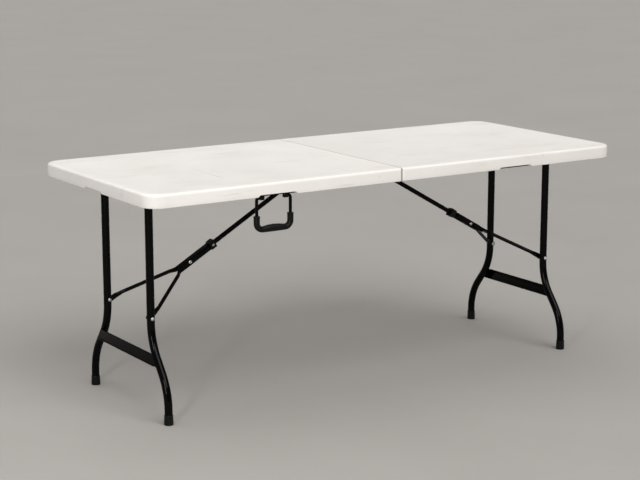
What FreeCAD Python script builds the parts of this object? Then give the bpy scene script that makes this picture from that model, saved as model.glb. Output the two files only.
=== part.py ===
import FreeCAD, Part
import math
import os
import Sketcher
from FreeCAD import Placement, Rotation, Vector

# Fold-in-half table with a moulded plastic top in two halves and two folding tube leg frames.
# Millimetres, +Z up, +X along the table, the origin on the floor under the middle of the top.
# Every piece is drawn on the left half (x below zero). The right half is turned half a turn about Z.

DRIVING = [
    # the top
    ("table_length", 1800, "end to end"),
    ("table_width", 750, "front to back"),
    ("table_height", 740, "floor to top face"),
    ("top_depth", 42, "top face to the lower edge of the skirt"),
    ("panel_depth", 14, "thickness of the flat part of a half"),
    ("skirt_wall", 16, "thickness of the skirt round a half"),
    ("seam_gap", 1, "gap between the halves"),
    ("corner_round", 58, "outer corner in plan"),
    ("inner_corner_round", 42, "corner of the hollow underneath"),
    ("edge_round", 8.5, "upper edge of the top"),
    ("notch_depth", 6.5, "shallow notches in the skirt's lower edge"),
    ("notch_width", 139, "notch over the handle, at its mouth"),
    ("notch_from_seam", 462.5, "seam to the middle of the handle notch"),
    ("end_notch_width", 120, "notch in the end skirt, at its mouth"),
    # the rails under the top
    ("rail_gap", 2.5, "skirt to rail"),
    ("rail_flange", 18, "width of the channel"),
    ("rail_wall", 1.5, "sheet thickness"),
    ("rail_end_gap", 32, "end skirt to rail end"),
    ("rail_seam_gap", 1.5, "seam skirt to rail end"),
    ("screw_hole", 4.2, "screw shank"),
    ("screw_head", 9, "pan head"),
    ("screw_head_depth", 2.6, "pan head"),
    ("screw_grip", 10, "length in the plastic"),
    ("screw_count", 5, "screws in each rail"),
    ("screw_margin", 60, "outer rail end to the first screw"),
    ("seam_screw_margin", 80, "inner rail end to the last screw, clear of the hinge"),
    ("driver_hole", 11, "access hole in the lower flange"),
    # the leg frames
    ("leg_tube", 25, "tube outside"),
    ("leg_wall", 1.5, "tube wall"),
    ("leg_inset", 113, "table end to leg centre"),
    ("leg_spread", 300, "between the upper legs, centre to centre"),
    ("foot_spread", 510, "between the feet, centre to centre"),
    ("bend_start", 300, "height where the leg leaves the vertical"),
    ("bend_radius", 175, "both bends of the leg"),
    ("slant_run", 50, "straight between the bends"),
    ("pivot_drop", 16, "panel to the leg pivot"),
    ("swage_tube", 14, "reduced end of the pivot tube"),
    ("swage_length", 25, "length of the reduced end"),
    ("swage_taper", 8, "length of the taper"),
    ("bush_outside", 21, "plastic bush body"),
    ("bush_neck", 17, "part of the bush that fills the rail hole"),
    ("bush_length", 11, "bush body inside the rail"),
    ("bush_stand", 1, "bush neck past the rail"),
    ("running_gap", 0.05, "radial clearance of the pivots"),
    ("plate_low", 172, "lower edge of the cross plate"),
    ("plate_height", 37, "height of the cross plate"),
    ("plate_wall", 2, "sheet thickness"),
    ("plate_return", 5, "folded edges of the cross plate"),
    ("cap_wall", 1.5, "foot cap round the tube, at its upper end"),
    ("cap_flare", 0.75, "how much further out the cap is at the floor"),
    ("cap_height", 31, "foot cap"),
    ("cap_floor", 3, "thickness under the tube"),
    ("cap_chamfer", 1.5, "lower edge of the cap"),
    ("cap_lip", 1, "bevel round the cap's mouth"),
    ("bolt_height", 313, "brace bolt on the leg"),
    ("bolt_shank", 6, "bolts and rivets of the brace"),
    ("bolt_head", 12, "their heads"),
    ("bolt_head_depth", 4, "their heads"),
    ("knee_head_depth", 3, "the knee rivet's heads"),
    # the folding braces
    ("brace_from_seam", 90, "seam to the upper brace pivot"),
    ("strut_tube", 15.5, "strut outside"),
    ("strut_wall", 1.2, "strut wall"),
    ("strut_knuckle", 15, "width of the solid knuckles"),
    ("channel_wall", 1.5, "fork channel sheet"),
    ("channel_side_gap", 0.35, "strut to channel side"),
    ("channel_top_gap", 0.75, "strut to channel web"),
    ("channel_height", 20.5, "fork channel"),
    ("channel_reach", 83.5, "knee towards the collar"),
    ("channel_tail", 42, "knee towards the leg"),
    ("arm_tube", 12.5, "fork arm outside"),
    ("arm_wall", 1.2, "fork arm wall"),
    ("arm_tab", 5, "flattened end of an arm"),
    ("arm_tab_height", 17, "flattened end of an arm"),
    ("arm_tab_length", 26, "flattened end of an arm"),
    ("arm_root", 4, "thickness of the tab on the channel"),
    ("arm_start", 8, "channel end to the start of the round tube"),
    ("arm_finish", 12, "leg bolt to the end of the round tube"),
    ("arm_offset", 0.5, "tab's leg face to the tube's side"),
    ("arm_leg_gap", 0.3, "arm to leg"),
    ("collar_outside", 28, "square lock collar"),
    ("collar_length", 20, "lock collar"),
    ("collar_from_knee", 95, "knee to the middle of the collar"),
    ("collar_socket", 11, "depth of the socket for the channel"),
    ("collar_gap", 0.3, "sliding clearance of the collar"),
    ("collar_round", 5, "its long edges"),
    ("clip_width", 9, "metal button on the collar"),
    ("clip_depth", 2, "metal button on the collar"),
    ("bracket_length", 50, "brace bracket along the table"),
    ("bracket_width", 66, "brace bracket across"),
    ("bracket_wall", 2.5, "bracket sheet"),
    ("screw_edge", 9, "bracket edge to its screws"),
    ("ear_gap", 0.3, "strut knuckle to ear"),
    ("ear_length", 24, "bracket ear"),
    ("ear_below", 10, "pivot to the ear's lower edge"),
    ("brace_pin", 8, "pin of the upper brace pivot"),
    ("brace_pin_head", 12, "its heads"),
    ("brace_pin_head_depth", 2.4, "its heads"),
    # the centre hinges
    ("hinge_inset", 18.5, "rail's outer face to the middle of a hinge"),
    ("hinge_width", 34, "across"),
    ("hinge_leaf", 62, "seam to the end of a leaf"),
    ("leaf_wall", 2, "sheet thickness"),
    ("barrel", 9, "hinge barrel"),
    ("hinge_pin", 5, "hinge pin"),
    ("hinge_pin_head", 7, "its upset ends"),
    ("hinge_pin_end", 1.5, "its upset ends"),
    ("knuckle_width", 12, "middle knuckle"),
    ("knuckle_gap", 0.2, "between knuckles"),
    ("relief", 1.5, "room round the barrel"),
    ("rivet_margin", 12, "leaf end to its first rivet"),
    ("rivet_pitch", 18, "between a leaf's rivets"),
    ("rivet_head", 8.4, "hinge rivet heads"),
    ("rivet_head_depth", 1.8, "hinge rivet heads"),
    # the carrying handle
    ("handle_inset", 10.5, "rail's outer face to the plane of the handle"),
    ("handle_drop", 6, "rail to the handle's pivot"),
    ("handle_pitch", 120, "between the wires"),
    ("wire", 10, "bail wire"),
    ("wire_bend", 9, "bends at the pivots"),
    ("wire_stub", 22, "turned-in end of the wire"),
    ("grip", 21, "grip thickness"),
    ("grip_low", 583, "lowest point of the grip"),
    ("grip_high", 636, "top of the grip's ends"),
    ("grip_bend", 20, "bends of the grip's middle line"),
    ("bracket_block", 13, "handle bracket"),
    ("bracket_start", 11, "wire to bracket"),
]

# Values that follow from the driving sizes, as formulas of the second sheet.
DERIVED = [
    ("end_x", "-Size.table_length / 2"),
    ("seam_x", "-Size.seam_gap / 2"),
    ("half_width", "Size.table_width / 2"),
    ("rim_z", "Size.table_height - Size.top_depth"),
    ("panel_z", "Size.table_height - Size.panel_depth"),
    ("hollow_end_x", "-Size.table_length / 2 + Size.skirt_wall"),
    ("hollow_seam_x", "-Size.seam_gap / 2 - Size.skirt_wall"),
    ("hollow_y", "Size.table_width / 2 - Size.skirt_wall"),
    ("rail_out", "Size.table_width / 2 - Size.skirt_wall - Size.rail_gap"),
    ("rail_in", "rail_out - Size.rail_flange"),
    ("rail_far_x", "hollow_end_x + Size.rail_end_gap"),
    ("rail_near_x", "hollow_seam_x - Size.rail_seam_gap"),
    ("leg_x", "-Size.table_length / 2 + Size.leg_inset"),
    ("leg_y", "Size.leg_spread / 2"),
    ("foot_y", "Size.foot_spread / 2"),
    ("tube_r", "Size.leg_tube / 2"),
    ("pivot_z", "panel_z - Size.pivot_drop"),
    # the leg's two bends meet a straight run, so the bend angle follows from the sideways offset
    ("bend_offset", "foot_y - leg_y"),
    ("bend_reach", "sqrt(Size.slant_run ^ 2 + 4 * Size.bend_radius ^ 2)"),
    ("bend_angle", "atan(2 * Size.bend_radius / Size.slant_run)"
                   " + asin((bend_offset - 2 * Size.bend_radius) / bend_reach)"),
    ("slant_top_y", "leg_y + Size.bend_radius * (1 - cos(bend_angle))"),
    ("slant_top_z", "Size.bend_start - Size.bend_radius * sin(bend_angle)"),
    ("slant_low_y", "slant_top_y + Size.slant_run * sin(bend_angle)"),
    ("slant_low_z", "slant_top_z - Size.slant_run * cos(bend_angle)"),
    ("bend_end_z", "slant_low_z - Size.bend_radius * sin(bend_angle)"),
    ("cap_top_r", "tube_r + Size.cap_wall"),
    ("cap_bottom_r", "cap_top_r + Size.cap_flare"),
    ("plate_top", "Size.plate_low + Size.plate_height"),
    ("plate_top_y", "leg_y + Size.bend_radius"
                    " - sqrt(Size.bend_radius ^ 2 - (Size.bend_start - plate_top) ^ 2)"),
    ("plate_low_y", "slant_top_y + (slant_top_z - Size.plate_low) * tan(bend_angle)"),
    # the brace is straight when the leg stands, and both its links lie along the top when it is folded
    ("brace_x", "-Size.brace_from_seam"),
    ("brace_drop", "pivot_z - Size.bolt_height"),
    ("brace_span", "brace_x - leg_x"),
    ("brace_total", "sqrt(brace_span ^ 2 + brace_drop ^ 2)"),
    ("strut_run", "(brace_total + brace_span - brace_drop) / 2"),
    ("fork_run", "brace_total - strut_run"),
    ("brace_slope", "atan(brace_drop / brace_span)"),
    ("knee_x", "brace_x - strut_run * cos(brace_slope)"),
    ("knee_z", "pivot_z - strut_run * sin(brace_slope)"),
    ("strut_r", "Size.strut_tube / 2"),
    ("channel_in", "strut_r + Size.channel_side_gap"),
    ("channel_out", "channel_in + Size.channel_wall"),
    ("web_low", "strut_r + Size.channel_top_gap"),
    ("web_top", "web_low + Size.channel_wall"),
    ("channel_foot", "web_top - Size.channel_height"),
    ("ear_in", "strut_r + Size.ear_gap"),
    ("ear_out", "ear_in + Size.bracket_wall"),
    ("hinge_y", "rail_out - Size.hinge_inset"),
    ("hinge_z", "rim_z - Size.leaf_wall / 2"),
    ("rivet_y", "rail_out - Size.rail_flange / 2"),
    ("handle_y", "-rail_out + Size.handle_inset"),
    ("handle_z", "rim_z - Size.handle_drop"),
    ("handle_x", "-Size.notch_from_seam"),
    ("grip_line", "Size.grip_low + Size.grip / 2"),
]

doc = FreeCAD.newDocument("FoldingTable")
size = doc.addObject("Spreadsheet::Sheet", "Size")
calc = doc.addObject("Spreadsheet::Sheet", "Calc")
for row, (word, number, note) in enumerate(DRIVING, start=1):
    size.set(f"A{row}", word)
    size.set(f"B{row}", str(number))
    size.set(f"C{row}", note)
    size.setAlias(f"B{row}", word)
doc.recompute()
for row, (word, formula) in enumerate(DERIVED, start=1):
    calc.set(f"A{row}", word)
    calc.set(f"B{row}", "=" + formula)
    calc.setAlias(f"B{row}", word)
doc.recompute()

ALONG_Y = Rotation(Vector(1, 0, 0), -90)     # turns a piece drawn along Z to lie along +Y
HALF_TURN = Rotation(Vector(0, 0, 1), 180)
reader = doc.addObject("App::FeaturePython", "Reader")     # evaluates expressions on the sheets
pieces = []


def value(expression):
    """The number that an expression on the sheets gives."""
    result = reader.evalExpression(expression)
    return float(getattr(result, "Value", result))


# ---------------------------------------------------------------- sketches and features

def new_body(label):
    body = doc.addObject("PartDesign::Body", label)
    body.Label = label
    return body


def sketch_on(body, role, offset="0"):
    """A sketch on one of the body's own origin planes, moved along the plane's normal."""
    sketch = body.newObject("Sketcher::SketchObject", "Sketch")
    plane = [f for f in body.Origin.OriginFeatures if f.Role == role][0]
    sketch.AttachmentSupport = [(plane, "")]
    sketch.MapMode = "FlatFace"
    sketch.setExpression("AttachmentOffset.Base.z", offset)
    return sketch


def tie(sketch, kind, expression, *items):
    """A dimension of a sketch, bound to the sheets."""
    index = sketch.addConstraint(Sketcher.Constraint(kind, *items, value(expression)))
    sketch.setExpression(f"Constraints[{index}]", expression)


def pin(sketch, geometry, end, across, up):
    tie(sketch, "DistanceX", across, -1, 1, geometry, end)
    tie(sketch, "DistanceY", up, -1, 1, geometry, end)


def polygon(sketch, corners):
    """A closed outline through corners given as (across, up) expressions."""
    points = [Vector(value(across), value(up), 0) for across, up in corners]
    first = sketch.GeometryCount
    count = len(points)
    for i in range(count):
        sketch.addGeometry(Part.LineSegment(points[i], points[(i + 1) % count]))
    for i in range(count):
        after = first + (i + 1) % count
        sketch.addConstraint(Sketcher.Constraint("Coincident", first + i, 2, after, 1))
    for i, (across, up) in enumerate(corners):
        pin(sketch, first + i, 1, across, up)


def rectangle(sketch, low, high, bottom, top):
    polygon(sketch, [(low, bottom), (high, bottom), (high, top), (low, top)])


def circle(sketch, across, up, radius):
    centre = Vector(value(across), value(up), 0)
    index = sketch.addGeometry(Part.Circle(centre, Vector(0, 0, 1), value(radius)))
    pin(sketch, index, 3, across, up)
    tie(sketch, "Radius", radius, index)


def route(sketch, start, stops):
    """An open path. A stop is (across, up) for a line, or (across, up, radius, side) for an arc:
    side is +1 for an arc that turns left on the way and -1 for one that turns right."""
    here = Vector(value(start[0]), value(start[1]), 0)
    last = None
    for stop in stops:
        there = Vector(value(stop[0]), value(stop[1]), 0)
        if len(stop) == 2:
            index = sketch.addGeometry(Part.LineSegment(here, there))
            near, far = 1, 2
        else:
            radius = value(stop[2])
            chord = there - here
            left = Vector(-chord.y, chord.x, 0).normalize() * stop[3]
            centre = (here + there) * 0.5 + left * math.sqrt(radius ** 2 - chord.Length ** 2 / 4)
            middle = centre - left * radius
            index = sketch.addGeometry(Part.Arc(here, middle, there))
            near = 1 if (sketch.getPoint(index, 1) - here).Length < 1e-3 else 2
            far = 3 - near
            tie(sketch, "Radius", stop[2], index)
        if last is None:
            pin(sketch, index, near, *start)
        else:
            sketch.addConstraint(Sketcher.Constraint("Coincident", last[0], last[1], index, near))
        pin(sketch, index, far, stop[0], stop[1])
        here = there
        last = (index, far)


def pad(body, sketch, length, symmetric=False, reverse=False):
    feature = body.newObject("PartDesign::Pad", "Pad")
    feature.Profile = sketch
    feature.setExpression("Length", length)
    feature.SideType = "Symmetric" if symmetric else "One side"
    feature.Reversed = reverse
    sketch.Visibility = False
    doc.recompute()
    return feature


def pocket(body, sketch, length, symmetric=False, reverse=False):
    """A cut that must take something away."""
    before = body.Shape.Volume
    feature = body.newObject("PartDesign::Pocket", "Pocket")
    feature.Profile = sketch
    feature.setExpression("Length", length)
    feature.SideType = "Symmetric" if symmetric else "One side"
    feature.Reversed = reverse
    doc.recompute()
    if not feature.isValid() or body.Shape.Volume > before - 0.1:
        raise RuntimeError(f"{body.Label}: a pocket cuts nothing")
    return feature


def revolve(body, sketch):
    """A full turn about the sketch's own upright axis."""
    feature = body.newObject("PartDesign::Revolution", "Revolution")
    feature.Profile = sketch
    feature.ReferenceAxis = (sketch, ["V_Axis"])
    feature.Angle = 360
    doc.recompute()
    return feature


def pipe(body, profile, spine):
    doc.recompute()
    feature = body.newObject("PartDesign::AdditivePipe", "Pipe")
    feature.Profile = profile
    feature.Spine = (spine, [])
    doc.recompute()
    return feature


def round_edges(body, radius, chosen):
    base = body.Tip
    names = [f"Edge{i}" for i, edge in enumerate(base.Shape.Edges, start=1) if chosen(edge)]
    feature = body.newObject("PartDesign::Fillet", "Fillet")
    feature.Base = (base, names)
    feature.setExpression("Radius", radius)
    doc.recompute()
    if not names or not feature.isValid():
        raise RuntimeError(f"{body.Label}: a rounding found no edge or failed")
    return feature


def solid(label, shape):
    """A piece, or a group of equal fasteners, that Part's own functions make."""
    feature = doc.addObject("Part::Feature", label)
    feature.Label = label
    feature.Shape = shape
    return feature


def finish(piece, side, base=(0, 0, 0), turn=Rotation()):
    """Place a piece that was drawn on the left half, and keep it for writing."""
    own = Placement(Vector(*base), turn)
    half = Placement(Vector(0, 0, 0), HALF_TURN if side == "right" else Rotation())
    piece.Placement = half.multiply(own)
    pieces.append(piece)


def local_sign(side, row):
    """Which way the front or back piece of a half lies before the right half's half turn."""
    world = -1 if row == "front" else 1
    return world if side == "left" else -world


def rod(low, high, radius, axis="y", at=(0, 0, 0)):
    """A plain cylinder between two places on its axis."""
    direction = {"x": Vector(1, 0, 0), "y": Vector(0, 1, 0), "z": Vector(0, 0, 1)}[axis]
    return Part.makeCylinder(radius, high - low, Vector(*at) + direction * low, direction)


def dome(place, direction, radius, depth):
    """A rounded fastener head whose flat side lies at place."""
    ball = (radius ** 2 + depth ** 2) / (2 * depth)
    sphere = Part.makeSphere(ball, Vector(*place) - Vector(*direction) * (ball - depth))
    disc = Part.makeCylinder(radius, depth, Vector(*place), Vector(*direction))
    return sphere.common(disc)


# ---------------------------------------------------------------- the top

def screw_places():
    """Where the rail screws stand: equal steps along each rail."""
    count = round(value("Size.screw_count"))
    start = value("Calc.rail_far_x + Size.screw_margin")
    end = value("Calc.rail_near_x - Size.seam_screw_margin")
    y = value("(Calc.rail_out + Calc.rail_in) / 2")
    steps = [start + (end - start) * i / (count - 1) for i in range(count)]
    return [(x, y) for x in steps]


def screw(x, y, under):
    """A pan head screw up into the plastic, its head against the metal at the height under."""
    tip = value("Calc.panel_z + Size.screw_grip")
    shank = rod(under, tip, value("Size.screw_hole / 2"), "z", (x, y, 0))
    head = dome((x, y, under), (0, 0, -1), value("Size.screw_head / 2"), value("Size.screw_head_depth"))
    return shank.fuse(head).removeSplitter()


def bracket_screw_places():
    x = value("Calc.brace_x")
    along = value("Size.bracket_length / 2 - Size.screw_edge")
    across = value("Size.bracket_width / 2 - Size.screw_edge")
    return [(x + i * along, j * across) for i in (-1, 1) for j in (-1, 1)]


def make_top(side):
    body = new_body(f"{side}_top")
    outline = sketch_on(body, "XY_Plane", "Calc.rim_z")
    rectangle(outline, "Calc.end_x", "Calc.seam_x", "-Calc.half_width", "Calc.half_width")
    pad(body, outline, "Size.top_depth")
    end_x = value("Calc.end_x")
    seam_x = value("Calc.seam_x")
    top_z = value("Size.table_height")

    def at_outer_corner(edge):
        box = edge.BoundBox
        return box.ZLength > 1 and box.XLength < 1e-6 and abs(box.XMin - end_x) < 1e-6

    def on_upper_edge(edge):
        box = edge.BoundBox
        on_top = box.ZLength < 1e-6 and abs(box.ZMin - top_z) < 1e-6
        return on_top and not (box.XLength < 1e-6 and abs(box.XMin - seam_x) < 1e-6)

    hollow = sketch_on(body, "XY_Plane", "Calc.rim_z")
    rectangle(hollow, "Calc.hollow_end_x", "Calc.hollow_seam_x", "-Calc.hollow_y", "Calc.hollow_y")
    pocket(body, hollow, "Size.top_depth - Size.panel_depth", reverse=True)
    hollow_x = value("Calc.hollow_end_x")

    def at_hollow_corner(edge):
        box = edge.BoundBox
        return box.ZLength > 1 and box.XLength < 1e-6 and abs(box.XMin - hollow_x) < 1e-6

    round_edges(body, "Size.inner_corner_round", at_hollow_corner)
    round_edges(body, "Size.corner_round", at_outer_corner)
    round_edges(body, "Size.edge_round", on_upper_edge)

    middle = "Calc.handle_x"
    notch = sketch_on(body, "XZ_Plane")
    polygon(notch, [
        (f"{middle} - Size.notch_width / 2", "Calc.rim_z"),
        (f"{middle} + Size.notch_width / 2", "Calc.rim_z"),
        (f"{middle} + Size.notch_width / 2 - Size.notch_depth", "Calc.rim_z + Size.notch_depth"),
        (f"{middle} - Size.notch_width / 2 + Size.notch_depth", "Calc.rim_z + Size.notch_depth")])
    pocket(body, notch, "Size.table_width", symmetric=True)
    end_notch = sketch_on(body, "YZ_Plane", "Calc.end_x")
    polygon(end_notch, [
        ("-Size.end_notch_width / 2", "Calc.rim_z"),
        ("Size.end_notch_width / 2", "Calc.rim_z"),
        ("Size.end_notch_width / 2 - Size.notch_depth", "Calc.rim_z + Size.notch_depth"),
        ("-Size.end_notch_width / 2 + Size.notch_depth", "Calc.rim_z + Size.notch_depth")])
    pocket(body, end_notch, "Size.skirt_wall", reverse=True)

    barrel_room = sketch_on(body, "XY_Plane", "Calc.rim_z")
    for sign in ("-", ""):
        rectangle(barrel_room, "-Size.barrel / 2 - Size.relief", "Calc.seam_x",
                  f"{sign}Calc.hinge_y - Size.hinge_width / 2 - Size.relief",
                  f"{sign}Calc.hinge_y + Size.hinge_width / 2 + Size.relief")
    pocket(body, barrel_room, "Size.barrel / 2 - Size.leaf_wall / 2 + Size.relief", reverse=True)

    holes = sketch_on(body, "XY_Plane", "Calc.panel_z")
    for x, y in screw_places():
        for sign in (-1, 1):
            circle(holes, f"{x}", f"{sign * y}", "Size.screw_hole / 2")
    for x, y in bracket_screw_places():
        circle(holes, f"{x}", f"{y}", "Size.screw_hole / 2")
    pocket(body, holes, "Size.screw_grip", reverse=True)
    finish(body, side)


# ---------------------------------------------------------------- rails, bushes and their screws

def make_rail(side, row):
    """A folded channel, open inwards, with a hole for the leg bush in its web."""
    sign = local_sign(side, row)
    body = new_body(f"{side}_{row}_rail")
    section = sketch_on(body, "YZ_Plane", "Calc.rail_far_x")
    out, lip = f"{sign} * Calc.rail_out", f"{sign} * Calc.rail_in"
    web = f"{sign} * (Calc.rail_out - Size.rail_wall)"
    polygon(section, [
        (out, "Calc.rim_z"), (lip, "Calc.rim_z"), (lip, "Calc.rim_z + Size.rail_wall"),
        (web, "Calc.rim_z + Size.rail_wall"), (web, "Calc.panel_z - Size.rail_wall"),
        (lip, "Calc.panel_z - Size.rail_wall"), (lip, "Calc.panel_z"), (out, "Calc.panel_z")])
    pad(body, section, "Calc.rail_near_x - Calc.rail_far_x")
    bush_hole = sketch_on(body, "XZ_Plane")
    circle(bush_hole, "Calc.leg_x", "Calc.pivot_z", "Size.bush_neck / 2")
    pocket(body, bush_hole, "Size.table_width", symmetric=True)
    screw_holes = sketch_on(body, "XY_Plane", "Calc.panel_z")
    driver_holes = sketch_on(body, "XY_Plane", "Calc.rim_z")
    for x, y in screw_places():
        circle(screw_holes, f"{x}", f"{sign * y}", "Size.screw_hole / 2")
        circle(driver_holes, f"{x}", f"{sign * y}", "Size.driver_hole / 2")
    pocket(body, screw_holes, "Size.rail_wall")
    pocket(body, driver_holes, "Size.rail_wall", reverse=True)
    rivet_holes = sketch_on(body, "XY_Plane", "Calc.rim_z")
    for x in rivet_places():
        circle(rivet_holes, f"{x}", f"{sign} * Calc.rivet_y", "Size.screw_hole / 2")
    pocket(body, rivet_holes, "Size.rail_wall", reverse=True)
    finish(body, side)


def make_rail_screws(side):
    under = value("Calc.panel_z - Size.rail_wall")
    shapes = [screw(x, sign * y, under) for x, y in screw_places() for sign in (-1, 1)]
    finish(solid(f"{side}_rail_screws", Part.Compound(shapes)), side)


def make_leg_bush(side, row):
    """A plastic bush: its body inside the rail, its neck in the rail's hole."""
    sign = local_sign(side, row)
    body = new_body(f"{side}_{row}_leg_bush")
    profile = sketch_on(body, "XZ_Plane")
    bore = "Size.swage_tube / 2 + Size.running_gap"
    inner = "Calc.rail_out - Size.rail_wall - Size.bush_length"
    web = "Calc.rail_out - Size.rail_wall"
    outer = "Calc.rail_out + Size.bush_stand"
    polygon(profile, [
        (bore, inner), ("Size.bush_outside / 2", inner), ("Size.bush_outside / 2", web),
        ("Size.bush_neck / 2", web), ("Size.bush_neck / 2", outer), (bore, outer)])
    revolve(body, profile)
    turn = ALONG_Y if sign > 0 else Rotation(Vector(1, 0, 0), 90)
    finish(body, side, (value("Calc.leg_x"), 0, value("Calc.pivot_z")), turn)


# ---------------------------------------------------------------- the leg frames

def make_pivot_tube(side):
    """The cross tube that the legs hang from, reduced at both ends to run in the bushes."""
    body = new_body(f"{side}_pivot_tube")
    profile = sketch_on(body, "XZ_Plane")
    tip = "(Calc.rail_out - Size.rail_wall)"
    neck = f"({tip} - Size.swage_length + Size.swage_taper / 2)"
    shoulder = f"({neck} - Size.swage_taper)"
    wall = "Size.leg_wall"
    outer = [("Calc.tube_r", shoulder), ("Size.swage_tube / 2", neck), ("Size.swage_tube / 2", tip)]
    inner = [(f"{r} - {wall}", z) for r, z in outer]
    below = [(r, f"-{z}") for r, z in outer]
    inner_below = [(r, f"-{z}") for r, z in inner]
    polygon(profile, below[::-1] + outer + inner[::-1] + inner_below)
    revolve(body, profile)
    finish(body, side, (value("Calc.leg_x"), 0, value("Calc.pivot_z")), ALONG_Y)


def make_leg(side, row):
    """A bent tube from the pivot tube to its foot cap, coped to the pivot tube."""
    sign = local_sign(side, row)
    body = new_body(f"{side}_{row}_leg")
    top = "Calc.pivot_z - Size.leg_tube / 8"
    spine = sketch_on(body, "YZ_Plane")
    route(spine, (f"{sign} * Calc.leg_y", top), [
        (f"{sign} * Calc.leg_y", "Size.bend_start"),
        (f"{sign} * Calc.slant_top_y", "Calc.slant_top_z", "Size.bend_radius", sign),
        (f"{sign} * Calc.slant_low_y", "Calc.slant_low_z"),
        (f"{sign} * Calc.foot_y", "Calc.bend_end_z", "Size.bend_radius", -sign),
        (f"{sign} * Calc.foot_y", "Size.cap_floor")])
    section = sketch_on(body, "XY_Plane", top)
    circle(section, "0", f"{sign} * Calc.leg_y", "Calc.tube_r")
    circle(section, "0", f"{sign} * Calc.leg_y", "Calc.tube_r - Size.leg_wall")
    pipe(body, section, spine)
    cope = sketch_on(body, "XZ_Plane")
    circle(cope, "0", "Calc.pivot_z", "Calc.tube_r")
    pocket(body, cope, "Size.table_width", symmetric=True)
    bolt_hole = sketch_on(body, "XZ_Plane")
    circle(bolt_hole, "0", "Size.bolt_height", "Size.bolt_shank / 2")
    pocket(body, bolt_hole, "Size.table_width", symmetric=True)
    finish(body, side, (value("Calc.leg_x"), 0, 0))


def make_cross_plate(side):
    """The flat plate welded across the outer side of both legs, with folded edges."""
    body = new_body(f"{side}_cross_plate")
    face = sketch_on(body, "YZ_Plane", "-Calc.tube_r")
    polygon(face, [
        ("-Calc.plate_low_y", "Size.plate_low"), ("Calc.plate_low_y", "Size.plate_low"),
        ("Calc.plate_top_y", "Calc.plate_top"), ("-Calc.plate_top_y", "Calc.plate_top")])
    pad(body, face, "Size.plate_wall", reverse=True)
    returns = sketch_on(body, "YZ_Plane", "-Calc.tube_r")
    margin = "2 * Size.plate_return"
    rectangle(returns, f"-Calc.plate_low_y + {margin}", f"Calc.plate_low_y - {margin}",
              "Size.plate_low", "Size.plate_low + Size.plate_wall")
    rectangle(returns, f"-Calc.plate_top_y + {margin}", f"Calc.plate_top_y - {margin}",
              "Calc.plate_top - Size.plate_wall", "Calc.plate_top")
    pad(body, returns, "Size.plate_return", reverse=True)
    finish(body, side, (value("Calc.leg_x"), 0, 0))


def make_foot(side, row):
    sign = local_sign(side, row)
    body = new_body(f"{side}_{row}_foot")
    profile = sketch_on(body, "XZ_Plane")
    chamfer, lip = "Size.cap_chamfer", "Size.cap_lip"
    polygon(profile, [
        ("0", "0"), (f"Calc.cap_bottom_r - {chamfer}", "0"), ("Calc.cap_bottom_r", chamfer),
        ("Calc.cap_top_r", f"Size.cap_height - {lip}"), (f"Calc.cap_top_r - {lip}", "Size.cap_height"),
        ("Calc.tube_r", "Size.cap_height"), ("Calc.tube_r", "Size.cap_floor"), ("0", "Size.cap_floor")])
    revolve(body, profile)
    finish(body, side, (value("Calc.leg_x"), sign * value("Calc.foot_y"), 0))


def make_leg_bolts(side):
    """One bolt through each leg, its head on the outer face."""
    shapes = []
    leg_y, tube_r = value("Calc.leg_y"), value("Calc.tube_r")
    x, z = value("Calc.leg_x"), value("Size.bolt_height")
    for sign in (-1, 1):
        low, high = sorted((sign * (leg_y - tube_r), sign * (leg_y + tube_r)))
        shank = rod(low, high, value("Size.bolt_shank / 2"), "y", (x, 0, z))
        head = dome((x, sign * (leg_y + tube_r), z), (0, sign, 0),
                    value("Size.bolt_head / 2"), value("Size.bolt_head_depth"))
        shapes.append(shank.fuse(head).removeSplitter())
    finish(solid(f"{side}_leg_bolts", Part.Compound(shapes)), side)


# ---------------------------------------------------------------- the folding braces

def brace_place():
    """Where the brace's pieces go: drawn with the knee at the origin and the strut along +X."""
    base = (value("Calc.knee_x"), 0, value("Calc.knee_z"))
    return base, Rotation(Vector(0, 1, 0), -value("Calc.brace_slope"))


def make_strut(side):
    """A tube with a solid knuckle at each end, bored for the knee rivet and the brace pin."""
    body = new_body(f"{side}_strut")
    section = sketch_on(body, "YZ_Plane")
    circle(section, "0", "0", "Calc.strut_r")
    circle(section, "0", "0", "Calc.strut_r - Size.strut_wall")
    pad(body, section, "Calc.strut_run")
    knuckles = sketch_on(body, "XZ_Plane")
    circle(knuckles, "0", "0", "Calc.strut_r")
    circle(knuckles, "Calc.strut_run", "0", "Calc.strut_r")
    pad(body, knuckles, "Size.strut_knuckle", symmetric=True)
    bores = sketch_on(body, "XZ_Plane")
    circle(bores, "0", "0", "Size.bolt_shank / 2 + Size.running_gap")
    circle(bores, "Calc.strut_run", "0", "Size.brace_pin / 2 + Size.running_gap")
    pocket(body, bores, "2 * Size.strut_tube", symmetric=True)
    finish(body, side, *brace_place())


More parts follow.
